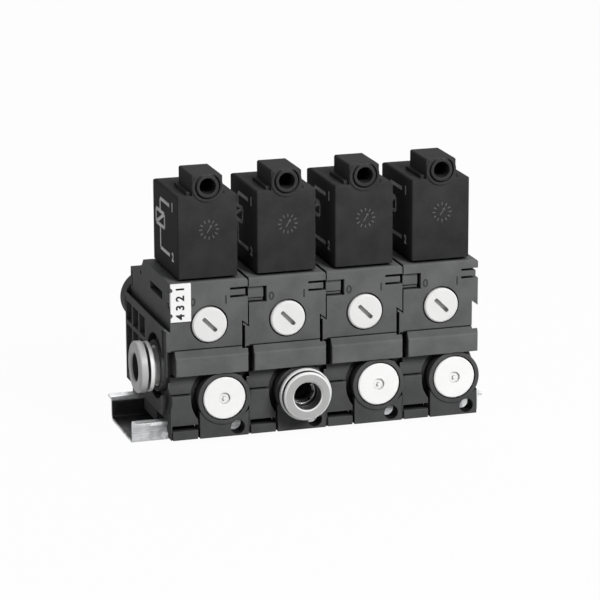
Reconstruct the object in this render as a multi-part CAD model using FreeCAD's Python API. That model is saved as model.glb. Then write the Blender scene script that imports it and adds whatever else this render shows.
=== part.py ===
"""Four-station pneumatic valve block on a top-hat rail.

Four identical plastic valve modules hook together side by side and sit on a
short piece of 35 mm top-hat rail. Each module carries a black pilot head on
top, a slotted manual override and a tube port in front, a second tube port at
the rear, and a sprung spool inside. One supply fitting feeds the channel that
runs through all modules from the left.

Frame: X runs along the rail from left to right, Y runs from front to rear and
Z is up. The origin is the middle of the rail's underside, midway between the
second and third modules. All sizes are in millimetres.
"""
import FreeCAD, Part
import math
import os

V = FreeCAD.Vector
ALONG_X = V(1, 0, 0)
ALONG_Y = V(0, 1, 0)
ALONG_Z = V(0, 0, 1)

# Whole block
STATIONS = 4
PITCH = 25.0
JOINT_GAP = 0.4
SLIP = 0.05

# Top-hat rail
RAIL_WIDTH = 35.0
RAIL_WEB = 27.0
RAIL_HEIGHT = 7.5
RAIL_SHEET = 1.0
RAIL_BEND = 0.8
RAIL_LEFT_END = 10.2
RAIL_RIGHT_END = 3.2

# Module housing
FRONT_FOOT = 5.0
REAR_FOOT = 8.5
BODY_BOTTOM = 2.5
BODY_TOP = 52.5
TOP_FLAT = 32.0
TOP_STEP_RUN = 2.0
TOP_STEP_DROP = 2.2
TOP_BREAK_BACK = 38.8
TOP_BREAK_DROP = 3.8
REAR_TOP = 46.4
CORNER_RADIUS = 0.9
FRONT_EDGE = 0.4
FLANGE_CLEAR = 0.3
KEEL_BOTTOM = 3.5
KEEL_WALL = 2.6
REAR_LIP_GAP = 1.3
REAR_LIP_HEIGHT = 2.2

# Hooked joint between modules
HOOK_STEP = 1.9
LEG_LINE_WIDTH = 0.6
LEG_LINE_DEPTH = 3.2
LEG_REBATE = 1.8
HOOK_TIP_Z = 37.0
HOOK_RISE = 1.5
LOWER_STEP_Z = 10.5
LOWER_STEP_DROP = 1.6

# Raised band across the front
BAND_LEFT = 1.3
BAND_RIGHT = 24.4
BAND_BOTTOM = 23.2
BAND_TOP = 31.0
BAND_BEVEL = 2.4
BAND_PROUD = 1.2
BAND_TONGUE_THICK = 0.9
BAND_NOTCH_LEFT = 1.1
BAND_NOTCH_DEPTH = 4.0
BAND_CORNER = 0.4
BAND_LINE_WIDTH = 0.4
BAND_LINE_DEPTH = 0.5

# Lower front panel, foot block and mounting hole
PANEL_RIGHT = 8.6
PANEL_STEP_Z = 16.3
PANEL_DEPTH = 0.7
PANEL_LINE_WIDTH = 0.45
PANEL_LINE_DEPTH = 2.8
LOWER_RECESS = 2.0
FOOT_LEFT = 9.1
FOOT_TOP = 11.0
FOOT_HOLE_X = 21.1
FOOT_HOLE_Z = 5.3
FOOT_HOLE_RADIUS = 2.2

# Marker recess, tongue slits and side slot
RECESS_WIDTH = 5.7
RECESS_BOTTOM = 44.5
RECESS_TOP = 49.6
RECESS_DEPTH = 3.2
RECESS_PLATE_DEPTH = 1.0
RECESS_SIDE_GAP = 0.9
RECESS_LINE = 0.4
RECESS_BAR = 0.6
SLIT_LENGTH = 5.6
SLIT_WIDTH = 0.75
SLIT_DEPTH = 7.0
TONGUE_BOTTOM = 47.4
TONGUE_TOP = 49.1
TONGUE_SHORT = 0.8
SIDE_SLOT_START = 9.0
SIDE_SLOT_END = 24.0
SIDE_SLOT_BOTTOM = 45.3
SIDE_SLOT_TOP = 47.9
SIDE_SLOT_DEPTH = 3.0
REAR_GROOVE_WIDTH = 1.2
REAR_GROOVE_BOTTOM = 40.3
REAR_GROOVE_TOP = 45.4
REAR_GROOVE_OFFSET = 1.0
WITNESS_HOLE_RADIUS = 0.7
WITNESS_HOLE_BACK = 35.5
WITNESS_HOLE_DROP = 1.2
ARCH_INNER = 8.0
ARCH_OUTER = 10.3
POCKET_DEPTH = 2.4
RIB_WIDTH = 1.4
RIB_Z = 28.0
POCKET_MARGIN = 1.2
POCKET_START = 24.0
POCKET_COLUMNS = 3

# Tube ports, for 8 mm tube
PORT_X = 16.8
PORT_Z = 15.0
PORT_BOSS_RADIUS = 8.3
PORT_BOSS_PROUD = 0.4
PORT_BOSS_FLARE = 1.0
PORT_VALLEY_WIDTH = 2.1
PORT_VALLEY_DEPTH = 4.2
PORT_VALLEY_BOTTOM = 8.0
PORT_SEAT_RADIUS = 7.1
PORT_SEAT_DEPTH = 4.4
PORT_INNER_RADIUS = 4.9
PORT_INNER_DEPTH = 4.5
PORT_FLOOR = 0.7
PORT_PASSAGE_RADIUS = 2.0
SUPPLY_BACK = 11.8
SUPPLY_Z = 23.8
SUPPLY_SEAT_RADIUS = 6.4
SUPPLY_SEAT_DEPTH = 8.5
CHANNEL_RADIUS = 2.5
COUPLING_RADIUS = 3.6
COUPLING_REACH = 4.5
REAR_PORT_X = 6.4
REAR_PORT_Z = 35.0
REAR_BOSS_RADIUS = 8.6
REAR_BOSS_PROUD = 5.5
REAR_INNER_DEPTH = 8.0
TUBE_RADIUS = 4.1

# Push-in cartridges and release rings
FRONT_NECK_RADIUS = 6.4
FRONT_NECK_LENGTH = 3.0
FLANGE_RADIUS = 8.25
FLANGE_THICK = 1.2
RING_RADIUS = 7.6
RING_THICK = 1.1
RING_BORE_RADIUS = 4.4
RING_SLEEVE_RADIUS = 5.2
RING_GAP = 1.0
RING_TRAVEL = 0.8
RING_SLEEVE_LENGTH = 3.8
RING_CHAMFER = 0.5
CARTRIDGE_STOP_RADIUS = 3.0
CARTRIDGE_STOP_THICK = 1.2
SUPPLY_NECK_RADIUS = 5.6
SUPPLY_NECK_LENGTH = 2.0
SUPPLY_RING_RADIUS = 8.1
SUPPLY_RING_THICK = 2.4
SUPPLY_FLANGE_RADIUS = 7.8
REAR_RING_RADIUS = 6.4

# Port plugs
PLUG_RADIUS = 6.7
PLUG_PROUD = 0.2
PLUG_HEAD_LENGTH = 3.0
PLUG_DIMPLE_RADIUS = 1.8
PLUG_DIMPLE_DEPTH = 0.6
PLUG_NUB_RADIUS = 0.5
PLUG_CHAMFER = 0.3

# Manual override
OVERRIDE_X = 12.3
OVERRIDE_Z = 38.8
OVERRIDE_RADIUS = 5.5
OVERRIDE_PROUD = 0.8
OVERRIDE_SINK = 1.5
OVERRIDE_RIM_GAP = 0.5
OVERRIDE_SLOT_LENGTH = 6.0
OVERRIDE_SLOT_WIDTH = 1.3
OVERRIDE_SLOT_DEPTH = 1.4
OVERRIDE_SLOT_ANGLE = 45.0
OVERRIDE_STEM_RADIUS = 3.0
OVERRIDE_STEM_END = 8.4
OVERRIDE_CAM_RADIUS = 1.0
OVERRIDE_CAM_OFFSET = 1.6
OVERRIDE_CAM_END = 13.0
SEAL_WIDTH = 1.2
SEAL_GROOVE = 0.6
OVERRIDE_SEAL_AT = 4.2

# Pilot head
HEAD_WIDTH = 18.8
HEAD_SETBACK = 1.3
HEAD_DEPTH = 30.5
HEAD_HEIGHT = 26.5
HEAD_GAP = 0.8
HEAD_FOOT_INSET = 1.4
HEAD_EDGE = 0.5
HEAD_REAR_CORNER = 1.8
HEAD_TOP_EDGE = 0.9
HEAD_FRONT_BEVEL = 0.4
HEAD_REAR_ROUND = 4.0
PLINTH_WIDTH = 12.4
PLINTH_HEIGHT = 1.1
PLINTH_INSET = 1.1
BLOCK_WIDTH = 9.5
BLOCK_DEPTH = 15.5
BLOCK_HEIGHT = 6.2
BLOCK_BEVEL = 0.4
COLLAR_RADIUS = 4.8
COLLAR_PROUD = 0.4
ENTRY_RADIUS = 2.6
ENTRY_DROP = 3.45
ENTRY_DEPTH = 8.8
ENTRY_LIP_RADIUS = 3.4
ENTRY_LIP_PROUD = 0.25
COLLAR_GROOVE_WIDTH = 0.7
COLLAR_GROOVE_DEPTH = 0.6
CONTACT_WELL_RADIUS = 2.1
CONTACT_WELL_DEPTH = 3.4
CONTACT_RADIUS = 0.5
CONTACT_OFFSET = 0.9

# Armature in the pilot head
ARMATURE_BACK = 11.0
ARMATURE_RADIUS = 4.0
ARMATURE_LENGTH = 15.0
ARMATURE_LIFT = 0.8
ARMATURE_BASE = 1.6
ARMATURE_HEADROOM = 2.6
ARMATURE_STEM_RADIUS = 1.2
ARMATURE_FOOT_RADIUS = 1.8
ARMATURE_FOOT_THICK = 0.8
ARMATURE_FOOT_GAP = 0.3
ARMATURE_SPRING_POCKET = 6.0
ARMATURE_SPRING_RADIUS = 2.1
ARMATURE_SPRING_WIRE = 0.3
ARMATURE_SPRING_TURNS = 5
CORE_FLANGE_RADIUS = 5.4
CORE_FLANGE_THICK = 1.4
CORE_LENGTH = 5.0
WINDING_INNER = 5.6
WINDING_OUTER = 8.2
WINDING_START = 2.0
SPIGOT_RADIUS = 5.2
SPIGOT_LENGTH = 2.2
PILOT_CHAMBER_RADIUS = 2.4
PILOT_DUCT_RADIUS = 0.8

# Main spool
SPOOL_X = 12.5
SPOOL_BACK = 26.0
SPOOL_RADIUS = 4.95
SPOOL_WAIST_RADIUS = 3.2
SPOOL_BOTTOM = 12.0
SPOOL_TOP = 44.0
SPOOL_LAND = 4.0
SPOOL_LANDS = 4
SPOOL_TOP_GAP = 0.4
SPOOL_POCKET_RADIUS = 4.0
SPOOL_POCKET_DEPTH = 8.0
SPOOL_SPRING_RADIUS = 3.2
SPOOL_SPRING_WIRE = 0.45
SPOOL_SPRING_TURNS = 5
SPRING_STEPS = 14
SPRING_FLATS = 6
CAP_RADIUS = 6.5
CAP_THICK = 3.4
CAP_SLOT_WIDTH = 1.2
CAP_SLOT_DEPTH = 1.2

# Rail latch
LATCH_LEFT = 0.3
LATCH_WINDOW_TOP = 7.0
LATCH_TOP = 5.3
LATCH_SIDE_GAP = 0.15
LATCH_TAB_THICK = 1.2
LATCH_BAR_BOTTOM = 3.5
LATCH_WALL_GAP = 1.9
LATCH_NOSE_GAP = 0.2
BRIDGE_START = 1.7
BRIDGE_THICK = 0.9

# Marker plate on the first module
MARKER_WIDTH = 6.5
MARKER_BOTTOM = 40.4
MARKER_THICK = 0.5
MARKER_NOTCH_RADIUS = 0.7

# Places that follow from the sizes above
FRONT = -RAIL_WIDTH / 2 - FRONT_FOOT
REAR = RAIL_WIDTH / 2 + REAR_FOOT
PORT_FACE = FRONT - PORT_BOSS_PROUD
PORT_SEAT_END = PORT_FACE + PORT_SEAT_DEPTH
REAR_FACE = REAR + REAR_BOSS_PROUD
RIGHT_FACE = PITCH - JOINT_GAP - HOOK_STEP
HEAD_X = PITCH / 2
HEAD_TOP = BODY_TOP + HEAD_HEIGHT
BLOCK_TOP = HEAD_TOP + BLOCK_HEIGHT
ENTRY_Z = BLOCK_TOP - ENTRY_DROP
LATCH_RIGHT = PANEL_RIGHT - SLIP
CAP_BOTTOM = KEEL_BOTTOM + SLIP
SPRING_SEAT = CAP_BOTTOM + CAP_THICK
ARMATURE_Z = BODY_TOP + ARMATURE_BASE
ARMATURE_TOP = ARMATURE_Z + ARMATURE_LENGTH
CHAMBER_TOP = ARMATURE_TOP + ARMATURE_HEADROOM


def at_depth(depth):
    """Y of a point that lies this far behind the housing's front plane."""
    return FRONT + depth


def station_left(index):
    """X of a module's left joint plane."""
    return PITCH * (index - STATIONS / 2)


def box(x0, x1, y0, y1, z0, z1):
    """A block between two corners."""
    return Part.makeBox(x1 - x0, y1 - y0, z1 - z0, V(x0, y0, z0))


def cyl_x(radius, x0, x1, y, z):
    """A round bar along X."""
    return Part.makeCylinder(radius, x1 - x0, V(x0, y, z), ALONG_X)


def cyl_y(radius, x, y0, y1, z):
    """A round bar along Y."""
    return Part.makeCylinder(radius, y1 - y0, V(x, y0, z), ALONG_Y)


def cyl_z(radius, x, y, z0, z1):
    """A round bar along Z."""
    return Part.makeCylinder(radius, z1 - z0, V(x, y, z0), V(0, 0, 1))


def prism_y(points, y0, y1):
    """An outline in X and Z, drawn out along Y."""
    corners = [V(x, y0, z) for x, z in points]
    wire = Part.makePolygon(corners + corners[:1])
    return Part.Face(wire).extrude(V(0, y1 - y0, 0))


def prism_x(points, x0, x1):
    """An outline in Y and Z, drawn out along X."""
    corners = [V(x0, y, z) for y, z in points]
    wire = Part.makePolygon(corners + corners[:1])
    return Part.Face(wire).extrude(V(x1 - x0, 0, 0))


def turned(points):
    """A turned solid about the Z axis from radius and height pairs."""
    corners = [V(r, 0, z) for r, z in points]
    wire = Part.makePolygon(corners + corners[:1])
    return Part.Face(wire).revolve(V(0, 0, 0), ALONG_Z, 360)


def ring(inner, outer, z0, z1):
    """A flat ring about the Z axis."""
    return turned([(inner, z0), (outer, z0), (outer, z1), (inner, z1)])


def facing_front(shape, x, y, z):
    """Turn a shape made about +Z so that +Z points to the front, then place it."""
    shape = shape.copy()
    shape.rotate(V(0, 0, 0), ALONG_X, 90)
    shape.translate(V(x, y, z))
    return shape


def facing_rear(shape, x, y, z):
    """Turn a shape made about +Z so that +Z points to the rear, then place it."""
    shape = shape.copy()
    shape.rotate(V(0, 0, 0), ALONG_X, -90)
    shape.translate(V(x, y, z))
    return shape


def facing_left(shape, x, y, z):
    """Turn a shape made about +Z so that +Z points to the left, then place it."""
    shape = shape.copy()
    shape.rotate(V(0, 0, 0), ALONG_Y, -90)
    shape.translate(V(x, y, z))
    return shape


def near(a, b):
    """True when two lengths are the same for the purpose of picking edges."""
    return abs(a - b) < 0.001


def edges_along(shape, axis, test=lambda point: True):
    """Straight edges that run along an axis and whose ends pass a test on a point."""
    found = []
    for edge in shape.Edges:
        ends = [vertex.Point for vertex in edge.Vertexes]
        run = ends[-1] - ends[0]
        straight = edge.Curve.TypeId == "Part::GeomLine" and near(abs(run.dot(axis)), run.Length)
        if straight and all(test(end) for end in ends):
            found.append(edge)
    return found


def coil_spring(radius, wire, turns, z0, z1):
    """A helical spring about the Z axis between two heights, its round wire drawn with flats."""
    steps = SPRING_STEPS * turns
    rise = z1 - z0 - 2 * wire
    loops = []
    for step in range(steps + 1):
        turn = 2 * math.pi * step / SPRING_STEPS
        loop = []
        for flat in range(SPRING_FLATS):
            angle = 2 * math.pi * flat / SPRING_FLATS
            reach = radius + wire * math.cos(angle)
            height = z0 + wire + rise * step / steps + wire * math.sin(angle)
            loop.append(V(reach * math.cos(turn), reach * math.sin(turn), height))
        loops.append(loop)
    faces = [Part.Face(Part.makePolygon(end + end[:1])) for end in (loops[0], loops[-1])]
    for low, high in zip(loops, loops[1:]):
        for flat in range(SPRING_FLATS):
            a, b = low[flat - 1], low[flat]
            c, d = high[flat], high[flat - 1]
            faces.append(Part.Face(Part.makePolygon([a, b, c, a])))
            faces.append(Part.Face(Part.makePolygon([a, c, d, a])))
    return Part.makeSolid(Part.makeShell(faces))


def module_outline():
    """Front view of one module: a plain left edge that nests in the next one's right edge."""
    right = PITCH - JOINT_GAP
    waist = right - HOOK_STEP
    tip = HOOK_TIP_Z + 2 * JOINT_GAP
    leg_end = LOWER_STEP_Z + 2 * JOINT_GAP
    return [
        (0, BODY_BOTTOM),
        (right, BODY_BOTTOM),
        (right, LOWER_STEP_Z),
        (waist, LOWER_STEP_Z - LOWER_STEP_DROP),
        (waist, tip + HOOK_RISE),
        (right, tip),
        (right, BODY_TOP),
        (0, BODY_TOP),
        (0, HOOK_TIP_Z),
        (-HOOK_STEP, HOOK_TIP_Z + HOOK_RISE),
        (-HOOK_STEP, leg_end - LOWER_STEP_DROP),
        (0, leg_end),
    ]


def side_outline():
    """Side view of one module: feet round the rail's flanges and a top that falls to the rear."""
    flange = RAIL_WIDTH / 2
    keel_front = at_depth(SPOOL_BACK) - CAP_RADIUS - KEEL_WALL / 2
    keel_rear = at_depth(SPOOL_BACK) + CAP_RADIUS + KEEL_WALL / 2
    rear_face = flange + FLANGE_CLEAR
    lip_end = RAIL_WEB / 2 + REAR_LIP_GAP
    lip_top = RAIL_HEIGHT - RAIL_SHEET - FLANGE_CLEAR
    return [
        (FRONT, BODY_BOTTOM),
        (-flange - FLANGE_CLEAR, BODY_BOTTOM),
        (-flange - FLANGE_CLEAR, RAIL_HEIGHT),
        (keel_front, RAIL_HEIGHT),
        (keel_front, KEEL_BOTTOM),
        (keel_rear, KEEL_BOTTOM),
        (keel_rear, RAIL_HEIGHT),
        (rear_face, RAIL_HEIGHT),
        (rear_face, lip_top),
        (lip_end, lip_top),
        (lip_end, lip_top - REAR_LIP_HEIGHT),
        (rear_face, BODY_BOTTOM),
        (REAR, BODY_BOTTOM),
        (REAR, REAR_TOP),
        (at_depth(TOP_BREAK_BACK), BODY_TOP - TOP_BREAK_DROP),
        (at_depth(TOP_FLAT + TOP_STEP_RUN), BODY_TOP - TOP_STEP_DROP),
        (at_depth(TOP_FLAT), BODY_TOP),
        (at_depth(FRONT_EDGE), BODY_TOP),
        (FRONT, BODY_TOP - FRONT_EDGE),
    ]


def housing_block():
    """The module's outer form, before its ports and details."""
    block = prism_y(module_outline(), FRONT, REAR)
    block = block.common(prism_x(side_outline(), -PITCH, 2 * PITCH))
    right = PITCH - JOINT_GAP
    corner = edges_along(block, ALONG_Y, lambda p: near(p.x, right) and near(p.z, BODY_TOP))
    return block.makeFillet(CORNER_RADIUS, corner).cut(leg_relief())


def leg_relief():
    """Joint line and rebate that take the hooked leg's front edge back from the joint."""
    low = LOWER_STEP_Z - LOWER_STEP_DROP
    line = box(-HOOK_STEP, -HOOK_STEP + LEG_LINE_WIDTH, FRONT, at_depth(LEG_LINE_DEPTH), low,
               HOOK_TIP_Z + LEG_LINE_WIDTH)
    rebate = box(-HOOK_STEP, -JOINT_GAP, FRONT, at_depth(LOWER_RECESS + LEG_REBATE), low, BAND_BOTTOM)
    return line.fuse(rebate)


def band():
    """The raised bar across the front: bevelled top, tongue over the joint, cut round the port."""
    face = at_depth(-BAND_PROUD)
    back = at_depth(BAND_NOTCH_DEPTH - JOINT_GAP)
    profile = [
        (back, BAND_BOTTOM),
        (face, BAND_BOTTOM),
        (face, BAND_TOP - BAND_BEVEL),
        (FRONT, BAND_TOP),
        (back, BAND_TOP),
    ]
    bar = prism_x(profile, BAND_LEFT, BAND_RIGHT)
    plate = box(BAND_LEFT, BAND_RIGHT, face, back, BAND_BOTTOM, BAND_TOP)
    plate = plate.makeFillet(BAND_CORNER, edges_along(plate, ALONG_Z, lambda p: near(p.y, face)))
    behind = box(RIGHT_FACE, PITCH, face + BAND_TONGUE_THICK, back + 1, BAND_BOTTOM - 1, BAND_TOP + 1)
    round_port = cyl_y(PORT_BOSS_RADIUS, PORT_X, face - 1, PORT_FACE, PORT_Z)
    return bar.common(plate).cut(behind.fuse(round_port))


def add_front_form(body):
    """Recessed lower front with its stepped panel, foot block, port boss and band."""
    recess = box(-PITCH, 2 * PITCH, FRONT - 1, at_depth(LOWER_RECESS), BODY_BOTTOM - 1, BAND_BOTTOM)
    notch = box(-BAND_NOTCH_LEFT, BAND_LEFT + BAND_CORNER, FRONT - 1, at_depth(BAND_NOTCH_DEPTH),
                BAND_BOTTOM - 1, BAND_TOP)
    band_line = box(0, RIGHT_FACE, FRONT - 1, at_depth(BAND_LINE_DEPTH), BAND_TOP,
                    BAND_TOP + BAND_LINE_WIDTH)
    panel_line = box(0, PANEL_RIGHT, FRONT - 1, at_depth(PANEL_LINE_DEPTH), PANEL_STEP_Z,
                     PANEL_STEP_Z + PANEL_LINE_WIDTH)
    body = body.cut([recess, notch, band_line, panel_line])
    back = at_depth(LOWER_RECESS)
    lower_panel = box(0, PANEL_RIGHT, at_depth(PANEL_DEPTH), back, BODY_BOTTOM, PANEL_STEP_Z)
    foot = box(FOOT_LEFT, PITCH - JOINT_GAP, FRONT, back, BODY_BOTTOM, FOOT_TOP)
    foot = foot.common(prism_y(module_outline(), FRONT, back))
    boss = cyl_y(PORT_BOSS_RADIUS, PORT_X, PORT_FACE, PORT_SEAT_END + PORT_FLOOR, PORT_Z)
    flare = Part.makeCone(
        PORT_BOSS_RADIUS, PORT_BOSS_RADIUS + PORT_BOSS_FLARE, LOWER_RECESS,
        V(PORT_X, FRONT, PORT_Z), ALONG_Y)
    inside = box(0, RIGHT_FACE, FRONT, back, FOOT_TOP, BAND_BOTTOM)
    body = body.fuse([lower_panel, foot, boss, flare.common(inside), band()])
    return body.cut(port_valley())


def port_valley():
    """Deep round channel that frees the left side of the port boss from the front panel."""
    outer = PORT_BOSS_RADIUS + PORT_VALLEY_WIDTH
    channel = cyl_y(outer, PORT_X, FRONT - 1, at_depth(PORT_VALLEY_DEPTH), PORT_Z)
    channel = channel.cut(cyl_y(PORT_BOSS_RADIUS, PORT_X, FRONT - 2, 0, PORT_Z))
    upper = box(0, PORT_X, FRONT - 1, 0, FOOT_TOP, BAND_BOTTOM)
    beside_foot = box(0, FOOT_LEFT, FRONT - 1, 0, PORT_VALLEY_BOTTOM, FOOT_TOP)
    return channel.common(upper.fuse(beside_foot))


def neighbour_relief():
    """Room in the left edge for the round boss of the module before."""
    end = PORT_SEAT_END + PORT_FLOOR + JOINT_GAP
    return cyl_y(PORT_BOSS_RADIUS + JOINT_GAP, PORT_X - PITCH, PORT_FACE - 1, end, PORT_Z)


def marker_recess():
    """Open pocket at the left edge for a marker: a plate and a bar stand in it, with gaps round them."""
    back = at_depth(RECESS_DEPTH)
    pocket = box(-1, RECESS_WIDTH, FRONT - 1, back, RECESS_BOTTOM, RECESS_TOP)
    right = RECESS_WIDTH - RECESS_SIDE_GAP
    bar_bottom = RECESS_BOTTOM + RECESS_LINE
    bar_top = bar_bottom + RECESS_BAR
    bar = box(-1, right, at_depth(RECESS_PLATE_DEPTH + RECESS_LINE), back, bar_bottom, bar_top)
    plate = box(-1, right, at_depth(RECESS_PLATE_DEPTH), back, bar_top + RECESS_LINE,
                RECESS_TOP - RECESS_LINE / 2)
    return pocket.cut([bar, plate])


def tongue_slits():
    """The two slits that free the snap tongue at the right edge, and its shortened end."""
    right = PITCH
    start = PITCH - JOINT_GAP - SLIT_LENGTH
    back = at_depth(SLIT_DEPTH)
    low = box(start, right, FRONT - 1, back, TONGUE_BOTTOM - SLIT_WIDTH, TONGUE_BOTTOM)
    high = box(start, right, FRONT - 1, back, TONGUE_TOP, TONGUE_TOP + SLIT_WIDTH)
    end = box(PITCH - JOINT_GAP - TONGUE_SHORT, right, FRONT - 1, back, TONGUE_BOTTOM, TONGUE_TOP)
    return low.fuse([high, end])


def side_details():
    """Cuts in the left face: the long slot, rear groove, witness hole and ribbed pockets."""
    slot = box(-1, SIDE_SLOT_DEPTH, at_depth(SIDE_SLOT_START), at_depth(SIDE_SLOT_END),
               SIDE_SLOT_BOTTOM, SIDE_SLOT_TOP)
    groove_end = REAR - REAR_GROOVE_OFFSET
    groove = box(-1, REAR_GROOVE_WIDTH, groove_end - REAR_GROOVE_WIDTH, groove_end,
                 REAR_GROOVE_BOTTOM, REAR_GROOVE_TOP)
    witness = cyl_x(WITNESS_HOLE_RADIUS, -1, SIDE_SLOT_DEPTH, at_depth(WITNESS_HOLE_BACK),
                    REAR_TOP + WITNESS_HOLE_DROP)
    cuts = [groove, witness]
    top = HOOK_TIP_Z - POCKET_MARGIN
    bottom = LOWER_STEP_Z + JOINT_GAP + POCKET_MARGIN
    span = REAR - POCKET_MARGIN - at_depth(POCKET_START)
    width = (span - RIB_WIDTH * (POCKET_COLUMNS - 1)) / POCKET_COLUMNS
    floor = -HOOK_STEP + POCKET_DEPTH
    for column in range(POCKET_COLUMNS):
        y0 = at_depth(POCKET_START) + column * (width + RIB_WIDTH)
        cuts.append(box(-HOOK_STEP - 1, floor, y0, y0 + width, bottom, RIB_Z))
        cuts.append(box(-HOOK_STEP - 1, floor, y0, y0 + width, RIB_Z + RIB_WIDTH, top))
    arch = ring(ARCH_INNER, ARCH_OUTER, -POCKET_DEPTH, 1)
    cuts.append(facing_left(arch, -HOOK_STEP, at_depth(SUPPLY_BACK), SUPPLY_Z))
    return slot.fuse(cuts)


def latch_window():
    """Opening in the front foot for the rail latch, and the saw line beside the foot block."""
    window = box(LATCH_LEFT, PANEL_RIGHT, FRONT - 1, at_depth(FRONT_FOOT), BODY_BOTTOM - 1,
                 LATCH_WINDOW_TOP)
    line = box(PANEL_RIGHT, FOOT_LEFT, FRONT - 1, at_depth(LOWER_RECESS), BODY_BOTTOM - 1, FOOT_TOP)
    return window.fuse(line)


def latch_bridge():
    """Thin bar under the latch that carries it."""
    end = at_depth(FRONT_FOOT - FLANGE_CLEAR)
    return box(0, FOOT_LEFT, at_depth(BRIDGE_START), end, BODY_BOTTOM, BODY_BOTTOM + BRIDGE_THICK)


def port_cuts():
    """Stepped seats and passages of the front port, supply channel and rear port."""
    spool_y = at_depth(SPOOL_BACK)
    inner_end = PORT_SEAT_END + PORT_INNER_DEPTH
    front_seat = cyl_y(PORT_SEAT_RADIUS, PORT_X, PORT_FACE - 1, PORT_SEAT_END, PORT_Z)
    front_inner = cyl_y(PORT_INNER_RADIUS, PORT_X, PORT_FACE, inner_end, PORT_Z)
    front_x = SPOOL_X + SPOOL_RADIUS - PORT_PASSAGE_RADIUS
    front_duct = cyl_y(PORT_PASSAGE_RADIUS, front_x, inner_end - 1, spool_y, PORT_Z)
    channel_y = at_depth(SUPPLY_BACK)
    channel = cyl_x(CHANNEL_RADIUS, -HOOK_STEP - 1, PITCH, channel_y, SUPPLY_Z)
    supply_seat = cyl_x(SUPPLY_SEAT_RADIUS + SLIP, -HOOK_STEP - 1, SUPPLY_SEAT_DEPTH - HOOK_STEP,
                        channel_y, SUPPLY_Z)
    coupling_seat = cyl_x(COUPLING_RADIUS + SLIP, RIGHT_FACE - COUPLING_REACH, PITCH + 1,
                          channel_y, SUPPLY_Z)
    supply_duct = cyl_y(PORT_PASSAGE_RADIUS, SPOOL_X, channel_y, spool_y, SUPPLY_Z)
    rear_step = REAR_FACE - PORT_SEAT_DEPTH
    rear_end = rear_step - REAR_INNER_DEPTH
    rear_seat = cyl_y(PORT_SEAT_RADIUS, REAR_PORT_X, rear_step, REAR_FACE + 1, REAR_PORT_Z)
    rear_inner = cyl_y(PORT_INNER_RADIUS, REAR_PORT_X, rear_end, REAR_FACE, REAR_PORT_Z)
    rear_x = SPOOL_X - SPOOL_RADIUS + PORT_PASSAGE_RADIUS
    rear_duct = cyl_y(PORT_PASSAGE_RADIUS, rear_x, spool_y, rear_end + 1, REAR_PORT_Z)
    return front_seat.fuse([front_inner, front_duct, channel, supply_seat, coupling_seat,
                            supply_duct, rear_seat, rear_inner, rear_duct])


def actuator_cuts():
    """Bores for the override, the pilot chamber, the spool and its screwed cap."""
    override_sink = cyl_y(OVERRIDE_RADIUS + OVERRIDE_RIM_GAP, OVERRIDE_X, FRONT - 1,
                          at_depth(OVERRIDE_SINK), OVERRIDE_Z)
    override_bore = cyl_y(OVERRIDE_STEM_RADIUS + SLIP, OVERRIDE_X, FRONT,
                          at_depth(OVERRIDE_CAM_END + 1), OVERRIDE_Z)
    pilot_y = at_depth(ARMATURE_BACK)
    chamber = cyl_z(PILOT_CHAMBER_RADIUS, HEAD_X, pilot_y, OVERRIDE_Z, BODY_TOP + 1)
    spigot_seat = cyl_z(SPIGOT_RADIUS + SLIP, HEAD_X, pilot_y, BODY_TOP - SPIGOT_LENGTH - SLIP,
                        BODY_TOP + 1)
    spool_y = at_depth(SPOOL_BACK)
    bore_top = SPOOL_TOP + SPOOL_TOP_GAP
    duct = cyl_y(PILOT_DUCT_RADIUS, SPOOL_X, pilot_y, spool_y, bore_top - PILOT_DUCT_RADIUS)
    spool_bore = cyl_z(SPOOL_RADIUS + SLIP, SPOOL_X, spool_y, KEEL_BOTTOM - 1, bore_top)
    cap_seat = cyl_z(CAP_RADIUS + SLIP, SPOOL_X, spool_y, KEEL_BOTTOM - 1, SPRING_SEAT)
    return override_sink.fuse([override_bore, chamber, spigot_seat, duct, spool_bore, cap_seat])


def make_housing():
    """One moulded module body, with its left joint plane at X = 0."""
    body = add_front_form(housing_block())
    rear_boss = cyl_y(REAR_BOSS_RADIUS, REAR_PORT_X, REAR, REAR_FACE, REAR_PORT_Z)
    body = body.fuse(rear_boss)
    body = body.cut([neighbour_relief(), marker_recess(), tongue_slits(), side_details(),
                     latch_window(), port_cuts(), actuator_cuts()])
    foot_hole = cyl_y(FOOT_HOLE_RADIUS, FOOT_HOLE_X, FRONT - 1, at_depth(FRONT_FOOT), FOOT_HOLE_Z)
    body = body.cut(foot_hole).fuse(latch_bridge())
    return body.removeSplitter()


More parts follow.
